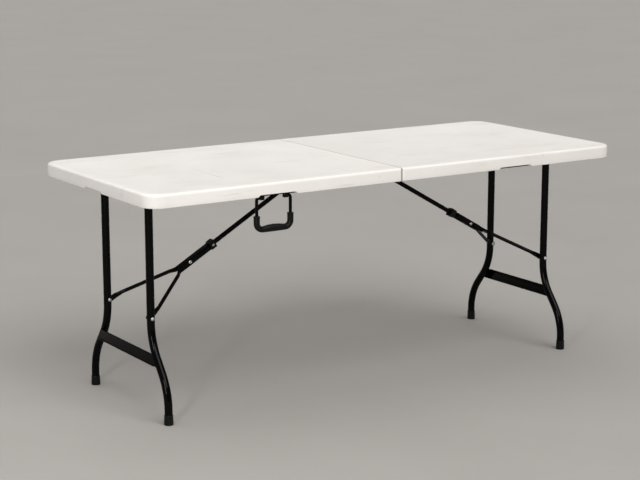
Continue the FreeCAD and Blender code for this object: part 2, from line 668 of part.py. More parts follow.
def make_brace_bracket(side):
    """A plate under the top with two ears that hold the strut's pin."""
    body = new_body(f"{side}_brace_bracket")
    plate = sketch_on(body, "XY_Plane", "Calc.panel_z")
    rectangle(plate, "Calc.brace_x - Size.bracket_length / 2", "Calc.brace_x + Size.bracket_length / 2",
              "-Size.bracket_width / 2", "Size.bracket_width / 2")
    for x, y in bracket_screw_places():
        circle(plate, f"{x}", f"{y}", "Size.screw_hole / 2")
    pad(body, plate, "Size.bracket_wall", reverse=True)
    ears = sketch_on(body, "XY_Plane", "Calc.panel_z")
    for sign in ("-", ""):
        rectangle(ears, "Calc.brace_x - Size.ear_length / 2", "Calc.brace_x + Size.ear_length / 2",
                  f"{sign}Calc.ear_in", f"{sign}Calc.ear_out")
    pad(body, ears, "Size.pivot_drop + Size.ear_below", reverse=True)
    bore = sketch_on(body, "XZ_Plane")
    circle(bore, "Calc.brace_x", "Calc.pivot_z", "Size.brace_pin / 2")
    pocket(body, bore, "Size.bracket_width", symmetric=True)
    finish(body, side)


def make_brace_pin(side):
    """A headed pin, peened at its far end."""
    radius = value("Size.brace_pin / 2")
    out = value("Calc.ear_out")
    place = (value("Calc.brace_x"), 0, value("Calc.pivot_z"))
    shape = rod(-out, out, radius, "y", place)
    for sign in (-1, 1):
        shape = shape.fuse(dome((place[0], sign * out, place[2]), (0, sign, 0),
                                value("Size.brace_pin_head / 2"), value("Size.brace_pin_head_depth")))
    finish(solid(f"{side}_brace_pin", shape.removeSplitter()), side)


def make_bracket_screws(side):
    under = value("Calc.panel_z - Size.bracket_wall")
    shapes = [screw(x, y, under) for x, y in bracket_screw_places()]
    finish(solid(f"{side}_bracket_screws", Part.Compound(shapes)), side)


def make_fork_channel(side):
    """The channel over the knee, open downwards, that carries both arms."""
    body = new_body(f"{side}_fork_channel")
    section = sketch_on(body, "YZ_Plane", "-Size.channel_tail")
    out, room = "Calc.channel_out", "Calc.channel_in"
    polygon(section, [
        (f"-{out}", "Calc.channel_foot"), (f"-{room}", "Calc.channel_foot"),
        (f"-{room}", "Calc.web_low"), (room, "Calc.web_low"),
        (room, "Calc.channel_foot"), (out, "Calc.channel_foot"),
        (out, "Calc.web_top"), (f"-{out}", "Calc.web_top")])
    pad(body, section, "Size.channel_tail + Size.channel_reach")
    bore = sketch_on(body, "XZ_Plane")
    circle(bore, "0", "0", "Size.bolt_shank / 2")
    pocket(body, bore, "2 * Size.channel_height", symmetric=True)
    finish(body, side, *brace_place())


def make_knee_rivet(side):
    out = value("Calc.channel_out")
    radius = value("Size.bolt_shank / 2")
    shape = rod(-out, out, radius)
    for sign in (-1, 1):
        head = dome((0, sign * out, 0), (0, sign, 0),
                    value("Size.bolt_head / 2"), value("Size.knee_head_depth"))
        shape = shape.fuse(head)
    finish(solid(f"{side}_knee_rivet", shape.removeSplitter()), side, *brace_place())


def arm_places():
    """The ends of an arm's middle line, in the brace's own plane, and the faces of its end tabs."""
    root_face = value("Calc.channel_out")
    leg_face = value("Calc.leg_y - Calc.tube_r - Size.arm_leg_gap")
    tube_r = value("Size.arm_tube / 2")
    start = Vector(value("Size.arm_start - Size.channel_tail"), root_face + tube_r, 0)
    end = Vector(value("Size.arm_finish - Calc.fork_run"), leg_face - tube_r - value("Size.arm_offset"), 0)
    return start, end, root_face, leg_face


def make_fork_arm(side, row):
    """A tube with a flat tab at each end: one on the channel's side, one beside the leg."""
    sign = local_sign(side, row)
    label = f"{side}_fork_{row}_arm"
    start, end, root_face, leg_face = arm_places()
    start.y *= sign
    end.y *= sign
    tab, height = value("Size.arm_tab"), value("Size.arm_tab_height")
    root_depth, eye_x = value("Size.arm_root"), -value("Calc.fork_run")
    run = end - start
    lean = Rotation(Vector(0, 0, 1), run)
    outer = doc.addObject("Part::Cylinder", f"{label}_outside")
    outer.setExpression("Radius", "Size.arm_tube / 2")
    outer.Height = run.Length
    outer.Placement = Placement(start, lean)
    inner = doc.addObject("Part::Cylinder", f"{label}_inside")
    inner.setExpression("Radius", "Size.arm_tube / 2 - Size.arm_wall")
    inner.Height = run.Length
    inner.Placement = outer.Placement
    tube = doc.addObject("Part::Cut", f"{label}_tube")
    tube.Base = outer
    tube.Tool = inner
    root_y = min(sign * root_face, sign * (root_face + root_depth))
    foot_y = min(sign * leg_face, sign * (leg_face - tab))
    tabs = []
    for name, width, corner in (
            ("root", "Size.arm_root", Vector(-value("Size.channel_tail"), root_y, -height / 2)),
            ("tab", "Size.arm_tab", Vector(eye_x, foot_y, -height / 2))):
        flat = doc.addObject("Part::Box", f"{label}_{name}")
        flat.setExpression("Length", "Size.arm_tab_length")
        flat.setExpression("Width", width)
        flat.setExpression("Height", "Size.arm_tab_height")
        flat.Placement.Base = corner
        tabs.append(flat)
    eye = doc.addObject("Part::Cylinder", f"{label}_eye")
    eye.setExpression("Radius", "Size.arm_tab_height / 2")
    eye.setExpression("Height", "Size.arm_tab")
    eye.Placement = Placement(Vector(eye_x, foot_y, 0), ALONG_Y)
    joined = doc.addObject("Part::MultiFuse", f"{label}_joined")
    joined.Shapes = [tube, eye] + tabs
    hole = doc.addObject("Part::Cylinder", f"{label}_hole")
    hole.setExpression("Radius", "Size.bolt_shank / 2")
    hole.setExpression("Height", "Size.arm_tab")
    hole.Placement = Placement(Vector(eye_x, foot_y, 0), ALONG_Y)
    arm = doc.addObject("Part::Cut", label)
    arm.Label = label
    arm.Base = joined
    arm.Tool = hole
    doc.recompute()
    finish(arm, side, *brace_place())


def make_arm_rivets(side):
    """The rivet in each arm's eye, its head towards the middle of the table."""
    shapes = []
    leg_face = arm_places()[3]
    tab = value("Size.arm_tab")
    x = -value("Calc.fork_run")
    for sign in (-1, 1):
        low, high = sorted((sign * leg_face, sign * (leg_face - tab)))
        shank = rod(low, high, value("Size.bolt_shank / 2"), "y", (x, 0, 0))
        head = dome((x, sign * (leg_face - tab), 0), (0, -sign, 0),
                    value("Size.bolt_head / 2"), value("Size.bolt_head_depth"))
        shapes.append(shank.fuse(head).removeSplitter())
    finish(solid(f"{side}_arm_rivets", Part.Compound(shapes)), side, *brace_place())


def make_collar(side):
    """The square collar that slides along the strut and over the end of the channel."""
    body = new_body(f"{side}_lock_collar")
    start = "Size.collar_from_knee - Size.collar_length / 2"
    block = sketch_on(body, "YZ_Plane", start)
    half = "Size.collar_outside / 2"
    rectangle(block, f"-{half}", half, f"-{half}", half)
    pad(body, block, "Size.collar_length")

    def runs_along(edge):
        return edge.BoundBox.XLength > 1

    round_edges(body, "Size.collar_round", runs_along)
    bore = sketch_on(body, "YZ_Plane", start)
    circle(bore, "0", "0", "Calc.strut_r + Size.collar_gap")
    pocket(body, bore, "Size.collar_length", reverse=True)
    socket = sketch_on(body, "YZ_Plane", start)
    gap = "Size.collar_gap"
    rectangle(socket, f"-Calc.channel_out - {gap}", f"Calc.channel_out + {gap}",
              f"Calc.channel_foot - {gap}", f"Calc.web_top + {gap}")
    pocket(body, socket, "Size.collar_socket", reverse=True)
    finish(body, side, *brace_place())


def make_lock_clip(side):
    """The small metal button on one side of the collar."""
    place = (value("Size.collar_from_knee"), -value("Size.collar_outside / 2"), 0)
    shape = dome(place, (0, -1, 0), value("Size.clip_width / 2"), value("Size.clip_depth"))
    finish(solid(f"{side}_lock_clip", shape), side, *brace_place())


# ---------------------------------------------------------------- the centre hinges

def rivet_places():
    """Where the hinge rivets stand, from the seam along a leaf."""
    first = value("Size.rivet_margin - Size.hinge_leaf")
    return [first, first + value("Size.rivet_pitch")]


def make_leaf(side, row):
    """A hinge leaf. The left one has the two outer knuckles and the right one the middle knuckle."""
    sign = local_sign(side, row)
    body = new_body(f"{row}_hinge_{side}_leaf")
    middle = f"{sign} * Calc.hinge_y"
    half = "Size.hinge_width / 2"
    knuckle = "Size.knuckle_width / 2"
    gap = "Size.knuckle_gap"
    room = "-Size.barrel / 2 - Size.relief"
    plate = sketch_on(body, "XY_Plane", "Calc.rim_z")
    if side == "left":
        inner = f"({knuckle} + {gap})"
        corners = [("-Size.hinge_leaf", f"{middle} - {half}"), ("0", f"{middle} - {half}"),
                   ("0", f"{middle} - {inner}"), (room, f"{middle} - {inner}"),
                   (room, f"{middle} + {inner}"), ("0", f"{middle} + {inner}"),
                   ("0", f"{middle} + {half}"), ("-Size.hinge_leaf", f"{middle} + {half}")]
    else:
        corners = [("-Size.hinge_leaf", f"{middle} - {half}"), (room, f"{middle} - {half}"),
                   (room, f"{middle} - {knuckle}"), ("0", f"{middle} - {knuckle}"),
                   ("0", f"{middle} + {knuckle}"), (room, f"{middle} + {knuckle}"),
                   (room, f"{middle} + {half}"), ("-Size.hinge_leaf", f"{middle} + {half}")]
    polygon(plate, corners)
    pad(body, plate, "Size.leaf_wall", reverse=True)
    barrel = sketch_on(body, "XZ_Plane", f"-({middle})")
    circle(barrel, "0", "Calc.hinge_z", "Size.barrel / 2")
    if side == "left":
        pad(body, barrel, "Size.hinge_width", symmetric=True)
        slot = sketch_on(body, "XY_Plane", "Calc.rim_z - Size.barrel")
        rectangle(slot, room, "Size.barrel / 2 + Size.relief",
                  f"{middle} - {knuckle} - {gap}", f"{middle} + {knuckle} + {gap}")
        pocket(body, slot, "2 * Size.barrel", reverse=True)
    else:
        pad(body, barrel, "Size.knuckle_width", symmetric=True)
    bore = sketch_on(body, "XZ_Plane", f"-({middle})")
    clearance = " + Size.running_gap" if side == "right" else ""
    circle(bore, "0", "Calc.hinge_z", f"Size.hinge_pin / 2{clearance}")
    pocket(body, bore, "2 * Size.hinge_width", symmetric=True)
    rivets = sketch_on(body, "XY_Plane", "Calc.rim_z")
    for x in rivet_places():
        circle(rivets, f"{x}", f"{sign} * Calc.rivet_y", "Size.screw_hole / 2")
    pocket(body, rivets, "Size.leaf_wall")
    finish(body, side)


def make_hinge_pin(row):
    sign = local_sign("left", row)
    middle = sign * value("Calc.hinge_y")
    half = value("Size.hinge_width / 2")
    end = value("Size.hinge_pin_end")
    head = value("Size.hinge_pin_head / 2")
    z = value("Calc.hinge_z")
    shape = rod(middle - half, middle + half, value("Size.hinge_pin / 2"), "y", (0, 0, z))
    for low in (middle - half - end, middle + half):
        shape = shape.fuse(rod(low, low + end, head, "y", (0, 0, z)))
    finish(solid(f"{row}_hinge_pin", shape.removeSplitter()), "left")


def make_hinge_rivets(side):
    """The rivets that hold both leaves of one half to its rails."""
    shapes = []
    low = value("Calc.rim_z - Size.leaf_wall")
    high = value("Calc.rim_z + Size.rail_wall")
    y = value("Calc.rivet_y")
    radius = value("Size.screw_hole / 2")
    head = value("Size.rivet_head / 2")
    depth = value("Size.rivet_head_depth")
    for x in rivet_places():
        for sign in (-1, 1):
            shape = rod(low, high, radius, "z", (x, sign * y, 0))
            shape = shape.fuse(dome((x, sign * y, low), (0, 0, -1), head, depth))
            shape = shape.fuse(dome((x, sign * y, high), (0, 0, 1), head, depth))
            shapes.append(shape.removeSplitter())
    finish(solid(f"{side}_hinge_rivets", Part.Compound(shapes)), side)


# ---------------------------------------------------------------- the carrying handle

def handle_place():
    return (value("Calc.handle_x"), value("Calc.handle_y"), 0)


def make_bail():
    """The bent wire inside the grip, its ends turned in to the brackets."""
    body = new_body("handle_bail")
    spine = sketch_on(body, "XZ_Plane")
    side = "Size.handle_pitch / 2"
    bend, turn = "Size.wire_bend", "Size.grip_bend"
    pivot, low = "Calc.handle_z", "Calc.grip_line"
    route(spine, (f"-{side} + Size.wire_stub", pivot), [
        (f"-{side} + {bend}", pivot),
        (f"-{side}", f"{pivot} - {bend}", bend, 1),
        (f"-{side}", f"{low} + {turn}"),
        (f"-{side} + {turn}", low, turn, 1),
        (f"{side} - {turn}", low),
        (side, f"{low} + {turn}", turn, 1),
        (side, f"{pivot} - {bend}"),
        (f"{side} - {bend}", pivot, bend, 1),
        (f"{side} - Size.wire_stub", pivot)])
    section = sketch_on(body, "YZ_Plane", f"-{side} + Size.wire_stub")
    circle(section, "0", pivot, "Size.wire / 2")
    pipe(body, section, spine)
    finish(body, "left", handle_place())


def make_grip():
    """The thick moulded grip round the lower part of the wire."""
    body = new_body("handle_grip")
    spine = sketch_on(body, "XZ_Plane")
    side = "Size.handle_pitch / 2"
    turn, low, high = "Size.grip_bend", "Calc.grip_line", "Size.grip_high"
    route(spine, (f"-{side}", high), [
        (f"-{side}", f"{low} + {turn}"),
        (f"-{side} + {turn}", low, turn, 1),
        (f"{side} - {turn}", low),
        (side, f"{low} + {turn}", turn, 1),
        (side, high)])
    section = sketch_on(body, "XY_Plane", high)
    circle(section, f"-{side}", "0", "Size.grip / 2")
    circle(section, f"-{side}", "0", "Size.wire / 2")
    pipe(body, section, spine)
    finish(body, "left", handle_place())


def make_handle_brackets():
    """The two blocks under the front rail that the wire's ends turn in."""
    shapes = []
    block = value("Size.bracket_block")
    top = value("Calc.rim_z")
    pivot = value("Calc.handle_z")
    start = value("Size.handle_pitch / 2 - Size.bracket_start")
    bore = value("Size.wire / 2 + Size.running_gap")
    for sign in (-1, 1):
        low, high = sorted((sign * start, sign * (start - block)))
        shape = Part.makeBox(high - low, block, block, Vector(low, -block / 2, top - block))
        hole = rod(low, high, bore, "x", (0, 0, pivot))
        shapes.append(shape.cut(hole))
    finish(solid("handle_brackets", Part.Compound(shapes)), "left", handle_place())


# ---------------------------------------------------------------- the whole table

for half in ("left", "right"):
    make_top(half)
    make_rail_screws(half)
    make_pivot_tube(half)
    make_cross_plate(half)
    make_leg_bolts(half)
    make_strut(half)
    make_brace_bracket(half)
    make_brace_pin(half)
    make_bracket_screws(half)
    make_fork_channel(half)
    make_knee_rivet(half)
    make_arm_rivets(half)
    make_collar(half)
    make_lock_clip(half)
    make_hinge_rivets(half)
    for row in ("front", "back"):
        make_rail(half, row)
        make_leg_bush(half, row)
        make_leg(half, row)
        make_foot(half, row)
        make_fork_arm(half, row)
        make_leaf(half, row)
for row in ("front", "back"):
    make_hinge_pin(row)
make_bail()
make_grip()
make_handle_brackets()

doc.recompute()
for item in doc.Objects:
    if "Invalid" in item.State or "Error" in item.State:
        raise RuntimeError(f"{item.Label} did not build: {item.State}")
for piece in pieces:
    if piece.Shape.isNull() or not piece.Shape.isValid():
        raise RuntimeError(f"{piece.Label} has no valid shape")

os.makedirs("parts", exist_ok=True)
for piece in pieces:
    piece.Shape.exportStep(f"parts/{piece.Label}.step")
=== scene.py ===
import math

import bmesh
import bpy
from mathutils import Euler, Matrix, Vector


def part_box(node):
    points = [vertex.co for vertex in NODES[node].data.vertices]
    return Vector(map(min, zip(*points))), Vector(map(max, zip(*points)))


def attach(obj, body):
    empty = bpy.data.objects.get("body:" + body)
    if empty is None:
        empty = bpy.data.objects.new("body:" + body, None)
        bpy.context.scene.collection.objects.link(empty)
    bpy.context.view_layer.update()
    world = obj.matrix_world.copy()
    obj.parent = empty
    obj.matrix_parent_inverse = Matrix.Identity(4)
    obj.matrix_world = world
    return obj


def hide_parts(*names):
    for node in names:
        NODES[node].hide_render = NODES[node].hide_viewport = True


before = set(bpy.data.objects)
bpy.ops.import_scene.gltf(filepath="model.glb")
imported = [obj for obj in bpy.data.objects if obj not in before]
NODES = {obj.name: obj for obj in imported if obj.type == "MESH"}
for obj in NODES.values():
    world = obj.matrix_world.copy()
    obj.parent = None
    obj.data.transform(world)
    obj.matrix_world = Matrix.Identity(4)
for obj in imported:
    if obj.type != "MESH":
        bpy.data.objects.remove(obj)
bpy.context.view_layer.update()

# A fold-in-half table: a pebbled off-white top in two halves, on glossy black folding legs.
# Metres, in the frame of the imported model. What both halves have is drawn for the left one,
# at x below zero, and turned half a turn about Z for the right one.

SIDES = ("left", "right")
ROWS = ("front", "back")
HALF_TURN = {"left": Matrix.Identity(4), "right": Matrix.Rotation(math.pi, 4, "Z")}
MM = 0.001

# ---------------------------------------------------------------- sizes of the moulded top

TOP_LOW, TOP_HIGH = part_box("left_top")
RIM_Z, TOP_Z = TOP_LOW.z, TOP_HIGH.z
PANEL_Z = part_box("left_front_rail")[1].z
END_X, SEAM_X = TOP_LOW.x, TOP_HIGH.x
HALF_WIDTH = TOP_HIGH.y
SKIRT = 16 * MM
END_ROUND = 58 * MM            # outer corners in plan
SEAM_ROUND = 10 * MM           # corners in plan beside the seam
HOLLOW_END_ROUND = 42 * MM
HOLLOW_SEAM_ROUND = 6 * MM
EDGE_ROUND = 8.5 * MM          # upper edge round the outside
SEAM_EDGE_ROUND = 2.2 * MM     # upper edge along the seam
LIP_ROUND = 2 * MM             # lower edges of the skirt
INNER_LIP_ROUND = 1.4 * MM     # run of the inner one
EDGE_STEPS = 8
LIP_STEPS = 4
HOLLOW_FILLET = 2 * MM
BORDER = 27 * MM               # smooth border round the pebbled field
SEAM_BORDER = 4 * MM
FIELD_DROP = 0.35 * MM         # the field lies this much lower than its border
FIELD_SLOPE = 3 * MM           # and slopes down over this, and this beside the seam
SEAM_FIELD_SLOPE = 1.5 * MM
FIELD_SEAM_ROUND = 1.5 * MM
NOTCH_DEPTH = 6.5 * MM
NOTCH_HALF = 69.5 * MM
END_NOTCH_HALF = 60 * MM
NOTCH_EASE = 1.2 * MM          # softened corners of a notch
BARREL_ROOM = 6 * MM           # how far in from the seam face the hinge barrels need room
BARREL_RELIEF = 5 * MM         # and how far up
BARREL_SIDE = 1.5 * MM         # and beside each leaf
HAIRLINE = 0.05 * MM           # run of a step that is as good as upright

# The dimple field between the rails.
DIMPLE_PITCH = 30 * MM
DIMPLE_SIDES = 12
DIMPLE_PROFILE = [(10.2 * MM, 0), (9.2 * MM, 0.9 * MM), (6.3 * MM, 7.2 * MM), (5.2 * MM, 8 * MM)]
FIELD_MARGIN = 8 * MM          # rails to the field

# ---------------------------------------------------------------- sizes of the steelwork

LEG_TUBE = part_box("left_front_leg")[1].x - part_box("left_front_leg")[0].x
LEG_X = (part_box("left_front_leg")[0].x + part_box("left_front_leg")[1].x) / 2
LEG_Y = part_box("left_back_leg")[0].y + LEG_TUBE / 2
BEND_START = 300 * MM
BEND_RADIUS = 175 * MM


def centre(node):
    low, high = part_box(node)
    return (low + high) / 2


def between(low, high, share):
    return low + (high - low) * share


def eased(share):
    """0 to 1 with a level start and a level end."""
    return share * share * (3 - 2 * share)


def shares(count):
    """The equal shares of one after each of count steps, 1 the last."""
    return [i / count for i in range(1, count + 1)]


KNEE = centre("left_knee_rivet")
LEG_BOLT = centre("left_leg_bolts")
BRACE_PIN = centre("left_brace_pin")
FORK_RUN = math.hypot(KNEE.x - LEG_BOLT.x, KNEE.z - LEG_BOLT.z)
SLOPE = math.atan2(BRACE_PIN.z - KNEE.z, BRACE_PIN.x - KNEE.x)
BRACE_PLACE = Matrix.Translation(KNEE) @ Matrix.Rotation(-SLOPE, 4, "Y")


# ---------------------------------------------------------------- shader maths

class Term:
    """One output of a node tree. Expressions on terms add Math nodes."""

    def __init__(self, finish, socket):
        self.finish = finish
        self.socket = socket

    def _maths(self, operation, first, second):
        settings = {"operation": operation}
        return self.finish.node("ShaderNodeMath", settings, {0: first, 1: second})

    def __add__(self, other):
        return self._maths("ADD", self, other)

    __radd__ = __add__

    def __sub__(self, other):
        return self._maths("SUBTRACT", self, other)

    def __rsub__(self, other):
        return self._maths("SUBTRACT", other, self)

    def __mul__(self, other):
        return self._maths("MULTIPLY", self, other)

    __rmul__ = __mul__

    def __abs__(self):
        return self._maths("ABSOLUTE", self, 0)

    def above(self, level):
        return self._maths("GREATER_THAN", self, level)


class Finish:
    """A material in the making, with one method that makes any node."""

    def __init__(self, name):
        self.material = bpy.data.materials.new(name)
        self.material.use_nodes = True
        self.tree = self.material.node_tree
        self.tree.nodes.clear()
        self.place = self.node("ShaderNodeTexCoord", output="Object")

    def node(self, kind, settings=None, values=None, output=0):
        """Settings come first, then each socket's value or link."""
        made = self.tree.nodes.new(kind)
        for word, setting in (settings or {}).items():
            setattr(made, word, setting)
        for word, value in (values or {}).items():
            if isinstance(value, Term):
                self.tree.links.new(value.socket, made.inputs[word])
            else:
                made.inputs[word].default_value = value
        return Term(self, made.outputs[output])

    def noise(self, scale, detail=2.0, roughness=0.5, stretch=(1, 1, 1)):
        place = self.place
        if stretch != (1, 1, 1):
            place = self.node("ShaderNodeMapping", None, {"Vector": self.place, "Scale": stretch})
        values = {"Vector": place, "Scale": scale, "Detail": detail, "Roughness": roughness}
        return self.node("ShaderNodeTexNoise", None, values)

    def cells(self, scale, feature="F1"):
        values = {"Vector": self.place, "Scale": scale}
        return self.node("ShaderNodeTexVoronoi", {"feature": feature}, values, "Distance")

    def window(self, value, low, high):
        """0 below low, 1 above high and smooth between."""
        values = {"Value": value, "From Min": low, "From Max": high}
        return self.node("ShaderNodeMapRange", {"interpolation_type": "SMOOTHSTEP"}, values)

    def mix(self, factor, first, second):
        values = {0: factor, 6: first, 7: second}
        return self.node("ShaderNodeMix", {"data_type": "RGBA"}, values, output=2)

    def bump(self, height, strength, distance, under=None):
        values = {"Height": height, "Strength": strength, "Distance": distance}
        if under is not None:
            values["Normal"] = under
        return self.node("ShaderNodeBump", None, values)

    def shade(self, values):
        """Close the tree with its shader, and give back the material."""
        surface = self.node("ShaderNodeBsdfPrincipled", None, values)
        output = self.tree.nodes.new("ShaderNodeOutputMaterial")
        self.tree.links.new(surface.socket, output.inputs["Surface"])
        return self.material


# ---------------------------------------------------------------- finishes

# Colours are linear.
OFF_WHITE = (0.850, 0.830, 0.800, 1)
DULL_WHITE = (0.760, 0.735, 0.700, 1)
SMEAR = (0.640, 0.612, 0.570, 1)
SCUFF = (0.470, 0.445, 0.410, 1)
SPECK = (0.250, 0.230, 0.200, 1)
# Painted shade: a darker colour in a band along the seam, for the shade in the gap between the halves.
SEAM_SHADE = (0.300, 0.270, 0.230, 1)
SEAM_SHADE_FULL, SEAM_SHADE_END = 1.2 * MM, 3.4 * MM      # from the middle of the seam
ENAMEL = (0.0006, 0.0006, 0.0007, 1)
ENAMEL_DUST = (0.0028, 0.0026, 0.0024, 1)
ENAMEL_RUBBED = (0.05, 0.047, 0.044, 1)
BLACK_PLASTIC = (0.0028, 0.0028, 0.0031, 1)
WORN_PLASTIC = (0.0095, 0.0090, 0.0086, 1)
DULL_ZINC = (0.44, 0.45, 0.46, 1)
BRIGHT_ZINC = (0.62, 0.62, 0.61, 1)
ZINC_SPOT = (0.30, 0.29, 0.27, 1)
FLOOR_DARK = (0.33, 0.315, 0.295, 1)
FLOOR_LIGHT = (0.385, 0.37, 0.35, 1)


def pebbled_top():
    """Off-white moulded polyethylene: fine pebbles, cloudy tone, smears, scuffs, specks, and painted
    shade along the seam standing for the dark of the gap between the halves."""
    f = Finish("pebbled_polyethylene")
    clouds = f.noise(5.5, 4, 0.6)
    smears = f.window(f.noise(11, 5, 0.65, (0.35, 1, 1)), 0.52, 0.72)
    scuff_lines = f.window(f.noise(70, 2, 0.5, (0.06, 1, 1)), 0.69, 0.73)
    cross_lines = f.window(f.noise(60, 2, 0.5, (1, 0.05, 1)), 0.70, 0.74)
    patches = f.window(f.noise(3.2, 2), 0.47, 0.62)
    scuffs = (scuff_lines + cross_lines) * patches
    specks = (1 - f.window(f.cells(26), 0.035, 0.06)) * f.noise(9, 1).above(0.53)
    from_seam = abs(f.node("ShaderNodeSeparateXYZ", None, {"Vector": f.place}, output="X"))
    # Painted shade: darkens the top within a few millimetres of the seam, for the shade in the gap
    # between the halves.
    seam_shade = (1 - f.window(from_seam, SEAM_SHADE_FULL, SEAM_SHADE_END)) * (0.45 + clouds * 0.5)
    tone = f.mix(clouds, DULL_WHITE, OFF_WHITE)
    tone = f.mix(smears * 0.40, tone, SMEAR)
    tone = f.mix(scuffs * 0.38, tone, SCUFF)
    tone = f.mix(specks * 0.65, tone, SPECK)
    tone = f.mix(seam_shade, tone, SEAM_SHADE)
    pebbles = f.bump(f.cells(620, "SMOOTH_F1"), 0.22, 0.4 * MM)
    grain = f.bump(f.noise(1500, 2), 0.10, 0.2 * MM, pebbles)
    worn = f.bump(f.noise(16, 3), 0.10, 1.5 * MM, grain)
    rough = 0.44 + clouds * 0.12 - smears * 0.08 + scuffs * 0.12
    return f.shade({"Base Color": tone, "Roughness": rough, "Normal": worn,
                    "IOR": 1.5, "Specular IOR Level": 0.28})


def powder_coat():
    """Glossy black powder coat on steel, with orange peel, dust and small rubbed places."""
    f = Finish("gloss_black_powder_coat")
    peel = f.noise(420, 2)
    dust = f.window(f.noise(38, 5, 0.7), 0.50, 0.78)
    rubbed = f.window(f.noise(150, 4, 0.7), 0.72, 0.76) * f.window(f.noise(8, 2), 0.55, 0.65)
    tone = f.mix(dust * 0.6, ENAMEL, ENAMEL_DUST)
    tone = f.mix(rubbed * 0.4, tone, ENAMEL_RUBBED)
    rough = 0.26 + dust * 0.16 + rubbed * 0.20
    return f.shade({"Base Color": tone, "Roughness": rough, "Normal": f.bump(peel, 0.10, 0.4 * MM),
                    "Specular IOR Level": 0.01, "Coat Weight": 0.17 - dust * 0.07,
                    "Coat Roughness": 0.05})


def satin_plastic():
    """Black moulded plastic with a fine spark-eroded grain and paler wear."""
    f = Finish("satin_black_plastic")
    grain = f.cells(1400, "SMOOTH_F1")
    wear = f.window(f.noise(60, 5, 0.7), 0.55, 0.75)
    tone = f.mix(wear, BLACK_PLASTIC, WORN_PLASTIC)
    rough = 0.40 + wear * 0.14 + grain * 0.08
    return f.shade({"Base Color": tone, "Roughness": rough, "Normal": f.bump(grain, 0.18, 0.2 * MM),
                    "Specular IOR Level": 0.18})


def bright_zinc():
    """Zinc plating: bright, a little cloudy, with fine drawn lines and dark spots."""
    f = Finish("bright_zinc_plating")
    clouds = f.noise(240, 4, 0.6)
    lines = f.noise(900, 2, 0.5, (1, 1, 0.12))
    spots = f.window(f.noise(700, 3), 0.64, 0.72)
    tone = f.mix(clouds, DULL_ZINC, BRIGHT_ZINC)
    tone = f.mix(spots * 0.5, tone, ZINC_SPOT)
    rough = 0.20 + clouds * 0.16 + spots * 0.2
    return f.shade({"Base Color": tone, "Metallic": 1.0, "Roughness": rough,
                    "Normal": f.bump(lines, 0.12, 0.2 * MM)})


def floor_paint():
    """Pale plain floor."""
    f = Finish("pale_floor")
    clouds = f.noise(1.3, 5, 0.6)
    tone = f.mix(clouds, FLOOR_DARK, FLOOR_LIGHT)
    return f.shade({"Base Color": tone, "Roughness": 0.62 + clouds * 0.1})


FINISHES = {"top_plastic": pebbled_top(), "black_enamel": powder_coat(),
            "black_plastic": satin_plastic(), "zinc": bright_zinc()}


# ---------------------------------------------------------------- meshes

WELD = 0.001 * MM              # points nearer than this are one


def mesh_object(name, build, smooth_angle=40):
    """An object whose mesh is whatever build(bm) draws, its doubles merged, its faces outward and
    smooth up to an angle."""
    mesh = bpy.data.meshes.new(name)
    bm = bmesh.new()
    build(bm)
    bmesh.ops.remove_doubles(bm, verts=bm.verts, dist=WELD)
    bmesh.ops.dissolve_degenerate(bm, edges=bm.edges, dist=WELD)
    bmesh.ops.recalc_face_normals(bm, faces=bm.faces)
    bm.to_mesh(mesh)
    bm.free()
    obj = bpy.data.objects.new(name, mesh)
    bpy.context.scene.collection.objects.link(obj)
    smooth(obj, smooth_angle)
    return obj


def smooth(obj, angle):
    obj.data.polygons.foreach_set("use_smooth", [True] * len(obj.data.polygons))
    obj.data.set_sharp_from_angle(angle=math.radians(angle))


def applied(obj):
    """The object's modifiers worked into a plain mesh."""
    graph = bpy.context.evaluated_depsgraph_get()
    mesh = bpy.data.meshes.new_from_object(obj.evaluated_get(graph))
    obj.modifiers.clear()
    obj.data = mesh
    return obj


def settle(obj, slot, body, *replaced):
    """Give a piece its finish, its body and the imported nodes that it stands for."""
    obj.data.materials.clear()
    obj.data.materials.append(FINISHES[slot])
    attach(obj, body)
    if replaced:
        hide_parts(*replaced)


def loft(bm, rings, closed_ends=True):
    """Skin rings of equal count, with a face over each end unless the ends stay open."""
    rows = [[bm.verts.new(point) for point in ring] for ring in rings]
    for low, high in zip(rows, rows[1:]):
        count = len(low)
        for i in range(count):
            j = (i + 1) % count
            bm.faces.new((low[i], low[j], high[j], high[i]))
    if closed_ends:
        bm.faces.new(rows[0][::-1])
        bm.faces.new(rows[-1])
    return rows


def circle(radius, height, steps):
    """A level ring of points about Z."""
    turn = [2 * math.pi * i / steps for i in range(steps)]
    return [Vector((radius * math.cos(a), radius * math.sin(a), height)) for a in turn]


def lathe(bm, profile, steps, place=Matrix.Identity(4)):
    """Turn (radius, height) points about Z. The first and last lie on the axis, and a flat face
    stands for each."""
    loft(bm, [[place @ point for point in circle(radius, height, steps)]
              for radius, height in profile[1:-1]])


def arc(radius, start, end, steps, across=0.0, up=0.0):
    """Points of a circular arc in (radius, height) terms, angles in degrees."""
    angles = [math.radians(start + (end - start) * i / steps) for i in range(steps + 1)]
    return [(across + radius * math.cos(a), up + radius * math.sin(a)) for a in angles]


def superellipse(half_across, half_up, power, steps):
    """A closed section between an ellipse, at power 2, and a rounded box, at a high power."""
    points = []
    for i in range(steps):
        angle = 2 * math.pi * i / steps
        c, s = math.cos(angle), math.sin(angle)
        points.append((half_across * math.copysign(abs(c) ** (2 / power), c),
                       half_up * math.copysign(abs(s) ** (2 / power), s)))
    return points


